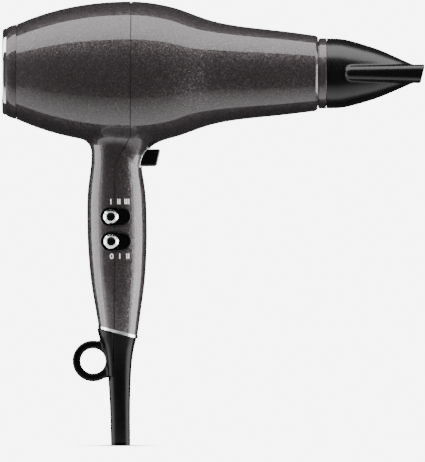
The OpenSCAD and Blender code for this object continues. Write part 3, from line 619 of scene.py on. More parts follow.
def cut(made: bmesh.types.BMesh, keep: Scalar) -> None:
    """Cuts a mesh exactly along keep = 0 and removes the side where it is negative.

    Args:
        made: The mesh, changed in place.
        keep: A smooth function of points in the dryer's frame.
    """
    made.verts.ensure_lookup_table()
    places = np.array([v.co for v in made.verts])
    values = keep(places)
    values[np.abs(values) < 1e-7] = 1e-7
    for v, value in zip(made.verts, values):
        v.tag = bool(value > 0)
    made.verts.index_update()
    crossing = [e for e in made.edges if e.verts[0].tag != e.verts[1].tag]
    if crossing:
        a = np.array([e.verts[0].co for e in crossing])
        b = np.array([e.verts[1].co for e in crossing])
        low, high = np.zeros(len(a)), np.ones(len(a))
        start = keep(a) > 0
        for _ in range(24):
            middle = (low + high) / 2
            same = (keep(a + (b - a) * middle[:, None]) > 0) == start
            low, high = np.where(same, middle, low), np.where(same, high, middle)
        new = []
        for edge, share in zip(crossing, (low + high) / 2):
            _, vert = bmesh.utils.edge_split(edge, edge.verts[0], float(np.clip(share, 1e-4, 1 - 1e-4)))
            new.append(vert)
        bmesh.ops.connect_verts(made, verts=new)
        fresh = set(new)
    else:
        fresh = set()
    gone = [f for f in made.faces if any(not v.tag for v in f.verts if v not in fresh)]
    bmesh.ops.delete(made, geom=gone, context="FACES")
    loose = [v for v in made.verts if not v.link_faces]
    bmesh.ops.delete(made, geom=loose, context="VERTS")


def thicken(made: bmesh.types.BMesh, skin: Skin, wall: float, sunk: float = 0.0) -> None:
    """Gives an open skin its wall, inwards, and closes its edges.

    Args:
        made: The cut skin, changed in place.
        skin: The surface it was cut from, for exact normals.
        wall: How deep the inner side lies.
        sunk: How deep the outer side lies.
    """
    verts, faces = list(made.verts), list(made.faces)
    rims = [e for e in made.edges if len(e.link_faces) == 1]
    places = np.array([v.co for v in verts])
    normal = skin.gradient(places)
    normal /= np.linalg.norm(normal, axis=1, keepdims=True)
    inner = {v: made.verts.new(p) for v, p in zip(verts, places - normal * wall)}
    for v, p in zip(verts, places - normal * sunk):
        v.co = p
    for f in faces:
        made.faces.new([inner[v] for v in reversed(f.verts)])
    for e in rims:
        loop = e.link_loops[0]
        a, b = loop.vert, loop.link_loop_next.vert
        made.faces.new([b, a, inner[a], inner[b]])


def finish_mesh(name: str, made: bmesh.types.BMesh, finish: Finish, sharp_deg: float = 40.0) -> bpy.types.Object:
    """Turns a bmesh into an object with its finish, smooth except over sharp edges.

    Args:
        name: The object's name.
        made: The mesh, which is freed.
        finish: Its finish.
        sharp_deg: Edges that turn more than this stay sharp.

    Returns:
        The new object, in the scene.
    """
    mesh = bpy.data.meshes.new(name)
    made.to_mesh(mesh)
    made.free()
    mesh.materials.append(finish.material())
    mesh.polygons.foreach_set("use_smooth", np.ones(len(mesh.polygons), bool))
    mesh.set_sharp_from_angle(angle=math.radians(sharp_deg))
    made_object = bpy.data.objects.new(name, mesh)
    bpy.context.scene.collection.objects.link(made_object)
    log.info("%s: %d faces", name, len(mesh.polygons))
    return made_object


def filleted(
    corners: Sequence[tuple[float, float, float]], closed: bool = True, steps: int = 5
) -> list[tuple[float, float]]:
    """Rounds a polygon's corners.

    Args:
        corners: Each corner as (along, radius, fillet radius).
        closed: Whether the last corner joins the first.
        steps: Pieces in each fillet's arc.

    Returns:
        The outline's points.
    """
    out: list[tuple[float, float]] = []
    n = len(corners)
    for i, (a, r, fillet) in enumerate(corners):
        here = Vector((a, r))
        if fillet <= 0 or (not closed and i in (0, n - 1)):
            out.append((a, r))
            continue
        before = Vector(corners[i - 1][:2]) - here
        after = Vector(corners[(i + 1) % n][:2]) - here
        reach = min(fillet, before.length * 0.48, after.length * 0.48)
        start, end = here + before.normalized() * reach, here + after.normalized() * reach
        for k in range(steps + 1):
            t = k / steps
            point = start * (1 - t) ** 2 + here * 2 * t * (1 - t) + end * t**2
            out.append((point.x, point.y))
    return out


def bridge(made: bmesh.types.BMesh, rings: Sequence[Sequence[bmesh.types.BMVert]], closed: bool = False) -> None:
    """Joins rings of points into a surface.

    Args:
        made: The mesh, changed in place.
        rings: The rings in order. A ring of one point is a pole.
        closed: Whether the last ring joins the first.
    """
    count = max(len(ring) for ring in rings)
    for a, b in list(zip(rings, rings[1:])) + ([(rings[-1], rings[0])] if closed else []):
        for k in range(count):
            j = (k + 1) % count
            corners = list(dict.fromkeys([a[k % len(a)], a[j % len(a)], b[j % len(b)], b[k % len(b)]]))
            if len(corners) > 2:
                made.faces.new(corners)


def lathe(
    outline: Sequence[tuple[float, float]], place: Matrix, closed: bool = True, segments: int = 160
) -> bmesh.types.BMesh:
    """Turns an outline about its axis.

    Args:
        outline: Points (along, radius). A radius of 0 becomes a pole.
        place: Where the axis lies: local z is along it.
        closed: Whether the last point joins the first.
        segments: Steps round.

    Returns:
        The turned mesh.
    """
    made = bmesh.new()
    rings = []
    for along, radius in outline:
        if radius < 1e-6:
            rings.append([made.verts.new(place @ Vector((0, 0, along)))])
            continue
        turns = (2 * math.pi * k / segments for k in range(segments))
        rings.append([made.verts.new(place @ Vector((radius * math.cos(turn), radius * math.sin(turn), along)))
                      for turn in turns])
    bridge(made, rings, closed)
    bmesh.ops.recalc_face_normals(made, faces=made.faces)
    return made


# ---------------------------------------------------------------- the dryer


class Part:
    """A sub-assembly that adds its pieces to the dryer."""

    def build(self) -> None:
        """Makes the pieces and puts them on their bodies."""
        raise NotImplementedError

    @staticmethod
    def settle(piece: bpy.types.Object, body: str, slot: str, *nodes: str) -> bpy.types.Object:
        """Puts a finished piece on its body in place of its CAD nodes.

        Args:
            piece: The piece.
            body: The CAD body that it rides on.
            slot: The record's material slot; not used.
            *nodes: The CAD nodes that it stands for.

        Returns:
            The piece.
        """
        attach(piece, body)
        if nodes:
            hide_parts(*nodes)
        return piece


@dataclass
class Body(Part):
    """Barrel and handle: two lacquered shells that meet at a seam."""

    barrel: Curve = field(default_factory=lambda: Curve(in_mm(
        (-73.3, 27.3), (-65.6, 30.9), (-57.9, 34.1), (-50.3, 36.87), (-38.8, 40.27), (-27.3, 42.83), (-12, 45),
        (0, 45.85), (11, 46), (19, 45.45), (28, 44.1), (37, 42.05), (47.4, 38.5), (57.8, 34.8), (68.2, 32.2),
        (84, 29.8), (104.6, 27.6), (130, 24.4))))
    handle: Curve = field(default_factory=lambda: Curve(in_mm(
        (-82, 11.0), (-72, 12.5), (-65.5, 13.5), (-55, 15.1), (-44.7, 16.7), (-34, 17.95), (-24, 18.7), (-10, 19.3),
        (4, 19.35), (14, 19.1), (25.5, 18.0), (34, 16.7), (40, 16.05), (46, 15.9), (56, 15.9), (97, 15.9))))
    cell: float = 1.5 * MM
    wall: float = 2.2 * MM
    seam_gap: float = 0.6 * MM
    # The seam runs down the handle at seam_x and steps forward over the throat
    seam_x: float = -1.4 * MM
    seam_step: float = 9.9 * MM
    step_low: float = 36.9 * MM
    step_rise: float = 18.5 * MM
    # Fillets where handle and barrel meet: at the sides, and how much larger in front and behind
    fillet: float = 6.5 * MM
    front_fillet: float = 13.5 * MM
    rear_fillet: float = 2.0 * MM
    lip_x: float = 124.0 * MM
    outlet_x: float = 130.0 * MM
    intake_x: float = -65.6 * MM
    foot: float = -71.05 * MM
    tongue_half: float = 1.2 * MM
    tongue_sunk: float = 0.9 * MM
    tongue_depth: float = 1.8 * MM

    def distance(self, p: np.ndarray) -> np.ndarray:
        """Signed distance from the outside of barrel and handle, filleted where they meet.

        Args:
            p: Points in the dryer's frame.

        Returns:
            The distances, negative inside.
        """
        radius, slope = self.barrel.at(p[..., 0])
        barrel = (np.hypot(p[..., 1], p[..., 2] - AXIS_Z) - radius) / np.sqrt(1 + slope**2)
        q = to_handle(p)
        grip_radius, grip_slope = self.handle.at(q[..., 2])
        grip = (np.hypot(q[..., 0], q[..., 1]) - grip_radius) / np.sqrt(1 + grip_slope**2)
        grip = np.maximum(grip, q[..., 2] - AXIS_Z)
        facing = q[..., 0] / np.maximum(np.hypot(q[..., 0], q[..., 1]), 1 * MM)
        forward, rearward = smooth_step((facing - 0.25) / 0.65), smooth_step((-facing - 0.25) / 0.65)
        return soft_min(barrel, grip, self.fillet + self.front_fillet * forward + self.rear_fillet * rearward)

    def from_seam(self, p: np.ndarray) -> np.ndarray:
        """Distance in front of the seam, which steps forward through the throat."""
        share = np.clip((p[..., 2] - self.step_low) / self.step_rise, 0, 1)
        return p[..., 0] - (self.seam_x + self.seam_step * share)

    @staticmethod
    def trim_plane(p: np.ndarray, at: float) -> np.ndarray:
        """Distance above a plane that slants as the trim ring does, through height at."""
        q = to_handle(p)
        return q[..., 0] * math.sin(TRIM_SLOPE) + (q[..., 2] - at) * math.cos(TRIM_SLOPE)

    def switch_side(self, x: float, z: float) -> float:
        """The handle's own surface on the switch side, at a place in the handle's axes."""
        radius = float(self.handle.at(np.array(z))[0])
        return -math.sqrt(max(radius**2 - x**2, 0.0))

    def build(self) -> None:
        """Makes both shells and the tongue that closes the seam between them."""
        skin = Skin(self.distance, (-0.070, -0.050, -0.085), (0.130, 0.050, 0.147), self.cell)
        controls = Controls()
        button = CoolButton()
        for name, side in (("front_shell", 1), ("rear_shell", -1)):
            made = skin.bmesh()
            cut(made, lambda p: side * self.from_seam(p) - self.seam_gap / 2)
            cut(made, lambda p: self.trim_plane(p, self.foot))
            cut(made, lambda p: self.lip_x - p[..., 0])
            cut(made, lambda p: p[..., 0] - self.intake_x)
            controls.cut_windows(made)
            if side > 0:
                cut(made, lambda p: np.where(p[..., 0] > 0, button.outline(p), 1.0))
            thicken(made, skin, self.wall)
            if side > 0:
                self._add_lip(made)
            piece = finish_mesh(f"lacquered_{name}", made, LACQUER)
            self.settle(piece, "housing", "lacquer", name)

        tongue = skin.bmesh()
        for side in (1, -1):
            cut(tongue, lambda p: self.tongue_half - side * self.from_seam(p))
        cut(tongue, lambda p: self.trim_plane(p, self.foot))
        controls.cut_windows(tongue)
        thicken(tongue, skin, self.tongue_depth, self.tongue_sunk)
        self.settle(finish_mesh("shell_tongue", tongue, BLACK_PLASTIC), "housing", "lacquer")

    def _add_lip(self, made: bmesh.types.BMesh) -> None:
        """Adds the shell's rounded end at the outlet.

        Args:
            made: The front shell, changed in place.
        """
        start, middle, end = (float(self.barrel.at(np.array(self.lip_x + k * MM))[0]) for k in (0, 2, 4))
        outline = [(self.lip_x, start), (self.lip_x + 2.0 * MM, middle)]
        outline += filleted([(self.outlet_x - 2.8 * MM, end + 0.08 * MM, 0), (self.outlet_x - 1.6 * MM, end, 1.0 * MM),
                             (self.outlet_x, 23.4 * MM, 0.4 * MM), (self.outlet_x, 22.0 * MM, 0)], closed=False)
        outline += [(self.lip_x, start - self.wall)]
        ring = lathe(outline, ON_BARREL, closed=False)
        mesh = bpy.data.meshes.new("lip")
        ring.to_mesh(mesh)
        ring.free()
        made.from_mesh(mesh)
        bpy.data.meshes.remove(mesh)


@dataclass
class Controls(Part):
    """Two slide switches, each a polished recess with a knob in a bright ring."""

    x: float = -0.85 * MM
    heights: tuple[float, float] = (3.2 * MM, -12.8 * MM)
    width: float = 20.2 * MM
    height: float = 13.4 * MM
    floor_y: float = -13.2 * MM
    travel: float = 6.0 * MM
    segments: int = 96

    def outline(self, p: np.ndarray, z: float) -> np.ndarray:
        """Distance outside one recess's rounded outline, seen from the front.

        Args:
            p: Points in the dryer's frame.
            z: The recess's height on the handle.

        Returns:
            The distances, negative inside.
        """
        q = to_handle(p)
        along = np.maximum(np.abs(q[..., 0] - self.x) - (self.width - self.height) / 2, 0)
        return np.hypot(along, q[..., 2] - z) - self.height / 2

    def cut_windows(self, made: bmesh.types.BMesh) -> None:
        """Cuts both recesses' outlines out of a skin on the switch side."""
        for z in self.heights:
            cut(made, lambda p: np.where(p[..., 1] < 0, self.outline(p, z), 1.0))

    def ring(self, z: float, inset: float, depth: Callable[[float, float], float]) -> list[Vector]:
        """One ring of the recess.

        Args:
            z: The recess's height on the handle.
            inset: How far inside the outline it lies.
            depth: Gives the place across the handle from places along x and z.

        Returns:
            The ring's points.
        """
        half, radius = (self.width - self.height) / 2, self.height / 2 - inset
        out = []
        for k in range(self.segments):
            a = 2 * math.pi * k / self.segments
            x = self.x + radius * math.cos(a) + math.copysign(half, math.cos(a))
            out.append(ON_HANDLE @ Vector((x, depth(x, z + radius * math.sin(a)), z + radius * math.sin(a))))
        return out

    def build(self) -> None:
        """Makes both switches."""
        surface = Body().switch_side
        for label, z in zip(("heat", "speed"), self.heights):
            self._bezel(label, z, surface)
            self._knob(label, z)

    def _bezel(self, label: str, z: float, surface: Callable[[float, float], float]) -> None:
        """Makes one recess: a lip that follows the grip, a wall and a floor.

        Args:
            label: What the switch sets.
            z: Its height on the handle.
            surface: The grip's surface on the switch side, from x and z.
        """
        steps = [(0.0, lambda x, h: surface(x, h) + 1.2 * MM), (0.0, lambda x, h: surface(x, h) - 0.02 * MM),
                 (0.12 * MM, lambda x, h: surface(x, h) - 0.14 * MM),
                 (0.4 * MM, lambda x, h: surface(x, h) - 0.18 * MM),
                 (0.72 * MM, lambda x, h: surface(x, h) - 0.08 * MM),
                 (0.9 * MM, lambda x, h: surface(x, h) + 0.15 * MM),
                 (0.95 * MM, lambda x, h: self.floor_y - 0.7 * MM),
                 (1.1 * MM, lambda x, h: self.floor_y - 0.2 * MM), (1.6 * MM, lambda x, h: self.floor_y),
                 (6.2 * MM, lambda x, h: self.floor_y), (6.2 * MM, lambda x, h: self.floor_y + 1.0 * MM),
                 (0.0, lambda x, h: self.floor_y + 1.0 * MM)]
        made = bmesh.new()
        rings = [[made.verts.new(v) for v in self.ring(z, inset, depth)] for inset, depth in steps]
        bridge(made, rings, closed=True)
        bmesh.ops.recalc_face_normals(made, faces=made.faces)
        piece = finish_mesh(f"{label}_switch_recess", made, GLOSS_BLACK, 50)
        self.settle(piece, "housing", "gloss_black", f"{label}_bezel")

    def _knob(self, label: str, z: float) -> None:
        """Makes one knob with its bright ring.

        Args:
            label: What the switch sets.
            z: Its height on the handle.
        """
        place = ON_HANDLE @ Matrix.Translation((self.x - self.travel / 2, 0, z)) @ Matrix.Rotation(math.pi / 2, 4, "X")
        # Both measured out from the handle's axis
        foot, top = 13.4 * MM, 20.4 * MM
        knob = filleted([(foot, 0.0, 0), (foot, 5.4 * MM, 0.2 * MM), (foot + 1.4 * MM, 5.4 * MM, 0.3 * MM),
                         (foot + 1.6 * MM, 4.75 * MM, 0.3 * MM), (top - 1.85 * MM, 4.75 * MM, 0.2 * MM),
                         (top - 1.5 * MM, 2.65 * MM, 0.1 * MM), (top - 0.9 * MM, 2.6 * MM, 0.25 * MM),
                         (top - 1.3 * MM, 1.6 * MM, 0.4 * MM), (top - 1.5 * MM, 0.0, 0)], closed=False)
        piece = finish_mesh(f"{label}_switch_knob", lathe(knob, place, segments=72), GLOSS_BLACK, 35)
        self.settle(piece, f"{label}_slider", "gloss_black", f"{label}_knob")
        ring = filleted([(top - 1.75 * MM, 4.85 * MM, 0.1 * MM), (top, 3.1 * MM, 0.4 * MM),
                         (top - 0.6 * MM, 2.6 * MM, 0.1 * MM), (top - 1.2 * MM, 2.7 * MM, 0.05 * MM),
                         (top - 1.85 * MM, 4.7 * MM, 0.05 * MM)])
        piece = finish_mesh(f"{label}_bright_ring", lathe(ring, place, segments=72), CHROME, 50)
        self.settle(piece, f"{label}_slider", "chrome", f"{label}_knob_ring")


@dataclass
class CoolButton(Part):
    """The cool-shot button in the throat, under the barrel."""

    z: float = 41.1 * MM
    height: float = 11.2 * MM
    width: float = 13.0 * MM
    back_x: float = 11.6 * MM
    reach_x: float = 29.1 * MM
    slope: float = 2.7 * MM
    rounding: float = 2.0 * MM
    gap: float = 0.2 * MM
    slot_corner: float = 1.0 * MM
    spring_x: tuple[float, float] = (5.85 * MM, 10.75 * MM)
    spring_radius: float = 2.3 * MM
    wire: float = 0.22 * MM
    coils: int = 4
    spring_keep: float = 0.4

    def outline(self, p: np.ndarray) -> np.ndarray:
        """Distance outside the slot that the button moves in, seen along the barrel.

        Args:
            p: Points in the dryer's frame.

        Returns:
            The distances, negative inside.
        """
        q = to_handle(p)
        across = np.abs(q[..., 1]) - self.width / 2 - self.gap
        up = np.abs(q[..., 2] - self.z) - self.height / 2 - self.gap
        return rounded_box(across, up, self.slot_corner)

    def build(self) -> None:
        """Makes the button, with rounded edges, and the bright frame round its slot."""
        made = bmesh.new()
        low, high = self.z - self.height / 2, self.z + self.height / 2
        outline = [(self.back_x, low), (self.reach_x - self.slope, low), (self.reach_x, high), (self.back_x, high)]
        sides = []
        for y in (-self.width / 2, self.width / 2):
            sides.append([made.verts.new(ON_HANDLE @ Vector((x, y, z))) for x, z in outline])
        made.faces.new(sides[0])
        made.faces.new(sides[1][::-1])
        for k in range(4):
            j = (k + 1) % 4
            made.faces.new([sides[0][k], sides[1][k], sides[1][j], sides[0][j]])
        bmesh.ops.recalc_face_normals(made, faces=made.faces)
        bmesh.ops.bevel(made, geom=list(made.edges), offset=self.rounding, segments=6, profile=0.6,
                        affect="EDGES")
        piece = finish_mesh("cool_shot_button_cap", made, GLOSS_BLACK, 40)
        self.settle(piece, "cool_button", "gloss_black", "cool_shot_button")
        frame = Skin(self.frame, (0.010, -0.010, 0.031), (0.027, 0.010, 0.051), 0.3 * MM)
        piece = finish_mesh("cool_shot_button_frame", frame.bmesh(), CHROME, 60)
        self.settle(piece, "housing", "chrome", "cool_shot_bezel")
        self._spring()

    def _spring(self) -> None:
        """Makes the return spring, drawn at its rest length; the real one shortens as the button goes in."""
        made = bmesh.new()
        steps, sides = 24, 8
        pitch = (self.spring_x[1] - self.spring_x[0]) / self.coils
        rings = []
        for i in range(self.coils * steps + 1):
            turn = 2 * math.pi * i / steps
            out = Vector((0, math.cos(turn), math.sin(turn)))
            along = Vector((pitch / (2 * math.pi), -self.spring_radius * math.sin(turn),
                            self.spring_radius * math.cos(turn))).normalized()
            centre = Vector((self.spring_x[0] + pitch * i / steps, 0, self.z)) + out * self.spring_radius
            rings.append([made.verts.new(ON_HANDLE @ (centre + self.wire * (
                out * math.cos(a) + along.cross(out) * math.sin(a)))) for a in (
                    2 * math.pi * k / sides for k in range(sides))])
        bridge(made, rings)
        made.faces.new(rings[0][::-1])
        made.faces.new(rings[-1])
        bmesh.ops.recalc_face_normals(made, faces=made.faces)
        piece = finish_mesh("cool_shot_return_spring", made, STEEL, 60)
        self.settle(piece, "housing", "steel", "cool_shot_spring")
        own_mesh(piece)

    def frame(self, p: np.ndarray) -> np.ndarray:
        """Signed distance from the bright frame that lines the slot and stands a little proud.

        Args:
            p: Points in the dryer's frame.

        Returns:
            The distances, negative inside.
        """
        shell, slot = Body().distance(p), self.outline(p)
        wall = np.maximum(shell - 0.45 * MM, -shell - 1.6 * MM)
        return soft_max(soft_max(wall, slot - 0.75 * MM, 0.3 * MM), 0.05 * MM - slot, 0.2 * MM)


@dataclass
class Outlet(Part):
    """The ring between the shell and the nozzle."""

    start: float = 130.3 * MM
    end: float = 135.5 * MM
    radius: float = 22.9 * MM

    def build(self) -> None:
        """Makes the collar with a shadow groove beside the shell."""
        ring = filleted([(self.start, 21.0 * MM, 0), (self.start, self.radius - 0.45 * MM, 0),
                         (self.start + 0.6 * MM, self.radius - 0.45 * MM, 0.1 * MM),
                         (self.start + 0.6 * MM, self.radius, 0.35 * MM), (self.end, self.radius, 0.35 * MM),
                         (self.end, 21.0 * MM, 0)])
        piece = finish_mesh("outlet_ring", lathe(ring, ON_BARREL), COLLAR_LACQUER, 50)
        self.settle(piece, "housing", "lacquer", "outlet_collar")


@dataclass
class RearCover(Part):
    """The pull-off air intake: lacquered rim, bright bead, grille and woven screen."""

    start: float = -65.9 * MM
    end: float = -72.3 * MM
    inner: float = 26.7 * MM
    pitch: float = 1.3 * MM
    wire: float = 0.32 * MM
    screen_depth: float = 2.45 * MM
    screen_gap: float = 0.1 * MM

    def build(self) -> None:
        """Makes the rim, the bead and the screen."""
        rim = filleted([(self.start, 30.8 * MM, 0.2 * MM), (-69.4 * MM, 29.95 * MM, 2.0 * MM),
                        (self.end, 28.55 * MM, 0.2 * MM), (self.end, self.inner, 0), (-60.5 * MM, self.inner, 0.2 * MM),
                        (-60.5 * MM, 28.5 * MM, 0.3 * MM), (self.start, 28.5 * MM, 0)])
        piece = finish_mesh("rear_rim", lathe(rim, ON_BARREL), LACQUER, 40)
        self.settle(piece, "rear_cover", "lacquer", "rear_cap")
        bead = filleted([(self.end, 28.1 * MM, 0.2 * MM), (-74.2 * MM, 27.85 * MM, 1.2 * MM),
                         (-74.9 * MM, 27.0 * MM, 0.5 * MM), (-74.7 * MM, self.inner, 0.2 * MM),
                         (self.end, self.inner, 0)])
        piece = finish_mesh("rear_bright_bead", lathe(bead, ON_BARREL), CHROME, 60)
        self.settle(piece, "rear_cover", "chrome", "rear_bead")
        self._screen()

    def _screen(self) -> None:
        """Makes the woven screen behind the grille: wires that pass over and under each other."""
        made = bmesh.new()
        plane = self.end + self.screen_depth
        count = int(self.inner / self.pitch)
        for across in (0, 1):
            for i in range(-count, count + 1):
                offset = i * self.pitch
                half = math.sqrt(max((self.inner - self.screen_gap) ** 2 - offset**2, 0.0))
                steps = max(int(2 * half / (self.pitch / 2)), 2)
                side = Vector((0, 0, 1)) if across else Vector((0, 1, 0))
                outward = [self.wire / 2 * (math.cos(a) * side + math.sin(a) * Vector((1, 0, 0)))
                           for a in (0, math.pi / 2, math.pi, 3 * math.pi / 2)]
                rings = []
                for k in range(steps + 1):
                    s = -half + 2 * half * k / steps
                    lift = 0.5 * self.wire * math.cos(math.pi * s / self.pitch) * (-1) ** (i + across)
                    centre = Vector((plane + lift, s, offset) if across else (plane + lift, offset, s))
                    rings.append([made.verts.new(centre + Vector((0, 0, AXIS_Z)) + out) for out in outward])
                bridge(made, rings)
                made.faces.new(rings[0])
                made.faces.new(rings[-1][::-1])
        bmesh.ops.recalc_face_normals(made, faces=made.faces)
        piece = finish_mesh("rear_woven_screen", made, MESH_WIRE, 80)
        self.settle(piece, "rear_cover", "mesh", "filter_screen")


@dataclass
class Nozzle(Part):
    """The concentrator: a round ogive that a flat flaring duct runs through."""

    start: float = 135.8 * MM
    tip: float = 198.68 * MM
    wall: float = 1.6 * MM
    ogive: Curve = field(default_factory=lambda: Curve(in_mm(
        (135.8, 22.7), (141, 22.7), (146.3, 22.3), (151.5, 21.2), (156.7, 19.8), (161.9, 18.2), (167, 16.6),
        (172.3, 14.6), (177.5, 12.4), (182.7, 10.1), (187.9, 7.8), (191.8, 6.1), (196, 4.5), (202, 3.5))))
    duct_start: float = 146.6 * MM
    half_width: tuple[float, float] = (23.6 * MM, 33.9 * MM)
    half_height: tuple[float, float] = (4.75 * MM, 5.85 * MM)
    corner: float = 4.7 * MM
    duct_rounding: float = 4.5 * MM
    fillet: float = 1.0 * MM
    tip_lean: float = math.radians(10.5)

    def distance(self, p: np.ndarray) -> np.ndarray:
        """Signed distance from the nozzle's outside.

        Args:
            p: Points in the dryer's frame.

        Returns:
            The distances, negative inside.
        """
        z = p[..., 2] - AXIS_Z
        radius, slope = self.ogive.at(p[..., 0])
        round_part = (np.hypot(p[..., 1], z) - radius) / np.sqrt(1 + slope**2)
        share = (p[..., 0] - self.duct_start) / (self.tip - self.duct_start)
        wide, high = (a + share * (b - a) for a, b in (self.half_width, self.half_height))
        flat = rounded_box(np.abs(p[..., 1]) - wide, np.abs(z) - high, self.corner)
        flat = soft_max(flat, self.duct_start - p[..., 0], self.duct_rounding)
        return soft_min(round_part, flat, self.fillet)

    def build(self) -> None:
        """Makes the nozzle with its open slot."""
        skin = Skin(self.distance, (0.133, -0.037, 0.071), (0.203, 0.037, 0.123), 0.75 * MM)
        made = skin.bmesh()
        cut(made, lambda p: p[..., 0] - self.start)
        middle = self.tip - self.half_height[1] * math.tan(self.tip_lean)
        cosine, sine = math.cos(self.tip_lean), math.sin(self.tip_lean)
        cut(made, lambda p: (middle - p[..., 0]) * cosine + (p[..., 2] - AXIS_Z) * sine)
        thicken(made, skin, self.wall)
        piece = finish_mesh("concentrator_nozzle", made, NOZZLE_PLASTIC, 40)
        self.settle(piece, "concentrator", "satin_black", "nozzle")


@dataclass
class CordEnd(Part):
    """The hanging loop on the side of the cord sleeve."""

    ring_x: float = -17.05 * MM
    ring_z: float = -90.4 * MM
    bore: float = 8.2 * MM
    thick: float = 5.1 * MM
    wide: float = 5.6 * MM
    corner: float = 1.9 * MM
    # The strap that holds the ring lies on the sleeve
    strap_thick: float = 0.95 * MM
    strap_front: float = -3.9 * MM
    strap_drop: float = 10.5 * MM
    strap_edge: float = 0.8 * MM
    fillet: float = 2.6 * MM
    top: float = -72.97 * MM
    sleeve: Curve = field(default_factory=lambda: Curve(in_mm(
        (-145.5, 6.25), (-118, 6.65), (-102, 7.393), (-92.4, 8.155), (-82.8, 9.679), (-76.5, 11.33), (-72, 12.6),
        (-64, 13.4))))

    def distance(self, p: np.ndarray) -> np.ndarray:
        """Signed distance from the loop's outside.

        Args:
            p: Points in the dryer's frame.

        Returns:
            The distances, negative inside.
        """
        q = to_handle(p)
        around = np.hypot(q[..., 0] - self.ring_x, q[..., 2] - self.ring_z) - self.bore - self.thick / 2
        ring = rounded_box(np.abs(around) - self.thick / 2, np.abs(q[..., 1]) - self.wide / 2, self.corner)
        radius, slope = self.sleeve.at(q[..., 2])
        out = (np.hypot(q[..., 0], q[..., 1]) - radius) / np.sqrt(1 + slope**2)
        strap = soft_max(out - self.strap_thick, q[..., 0] - self.strap_front, self.strap_edge)
        strap = soft_max(strap, self.ring_z - self.strap_drop - q[..., 2], self.strap_edge)
        body = soft_min(ring, strap, self.fillet)
        hole = self.bore - np.hypot(q[..., 0] - self.ring_x, q[..., 2] - self.ring_z)
        body = np.maximum(body, hole)
        body = np.maximum(body, 0.02 * MM - out)
        return soft_max(body, Body.trim_plane(p, self.top), 0.3 * MM)

    def build(self) -> None:
        """Makes the loop."""
        skin = Skin(self.distance, (-0.034, -0.016, -0.108), (0.002, 0.016, -0.064), 0.5 * MM)
        piece = finish_mesh("rubber_hanging_loop", skin.bmesh(), RUBBER, 60)
        self.settle(piece, "housing", "rubber", "hanging_loop")


@dataclass
class FrameFinishes(Part):
    """Finishes for the CAD pieces that keep their own shape."""

    frame: dict
    crisp: tuple[str, ...] = ("trim_ring", "cord_sleeve", "rear_grille", "outlet_grille", "fan_nut")
    edge: float = 0.25 * MM

    def build(self) -> None:
        """Gives each CAD piece its slot's finish, and turns the edges of those that show."""
        slots = {s["node"]: s["material_slot"] for s in self.frame["record"]["subparts"]}
        for name, piece in self.frame["nodes"].items():
            finish = SLOT_FINISHES[slots[name]]
            piece.data.materials.clear()
            piece.data.materials.append(finish.material())
            if name in self.crisp:
                turned = piece.modifiers.new("turned_edge", "BEVEL")
                turned.width, turned.segments, turned.limit_method = self.edge, 2, "ANGLE"
                turned.angle_limit = math.radians(50)
            log.info("%s: %s", name, finish.name)


# ---------------------------------------------------------------- studio


@dataclass(frozen=True)
class PaperSweep(Finish):
    """Matt white paper drawn as an even glow with no shine; the soft grey under what stands on it is a painted contact
    shadow.
    """

    level: float = 1.0
    reach: float = 26 * MM

    def shader(self, tree: bpy.types.NodeTree) -> bpy.types.Node:
        """Adds the paper's even glow with its painted contact shadow.

        Args:
            tree: The material's node tree.

        Returns:
            The main shader node.
        """
        # Painted contact shadow: the glow is dimmed where ambient occlusion finds something near; the lamps do not
        # shade this floor.
        near = add_node(tree, "ShaderNodeAmbientOcclusion", {"samples": 16}, Distance=self.reach)
        shade = add_node(tree, "ShaderNodeMath", {"operation": "POWER"}, in_0=near.outputs["AO"], in_1=9.0)
        strength = add_node(tree, "ShaderNodeMath", {"operation": "MULTIPLY"}, in_0=shade.outputs[0], in_1=self.level)
        return add_node(tree, "ShaderNodeEmission", Color=linear(self.colour), Strength=strength.outputs[0])


@dataclass
class Panel:
    """A soft light panel."""

    name: str
    centre: tuple[float, float, float]
    towards: tuple[float, float, float]
    size: tuple[float, float]
    radiance: float
    seen_in_gloss: bool = True

    def build(self) -> None:
        """Adds the panel's light."""
        light = bpy.data.lights.new(self.name, "AREA")
        light.shape = "RECTANGLE"
        light.size, light.size_y = self.size
        light.energy = self.radiance * math.pi * self.size[0] * self.size[1]
        holder = bpy.data.objects.new(self.name, light)
        bpy.context.scene.collection.objects.link(holder)
        holder.location = self.centre
        holder.rotation_euler = Vector(self.towards).to_track_quat("-Z", "Y").to_euler()
        holder.visible_camera = False
        holder.visible_glossy = self.seen_in_gloss


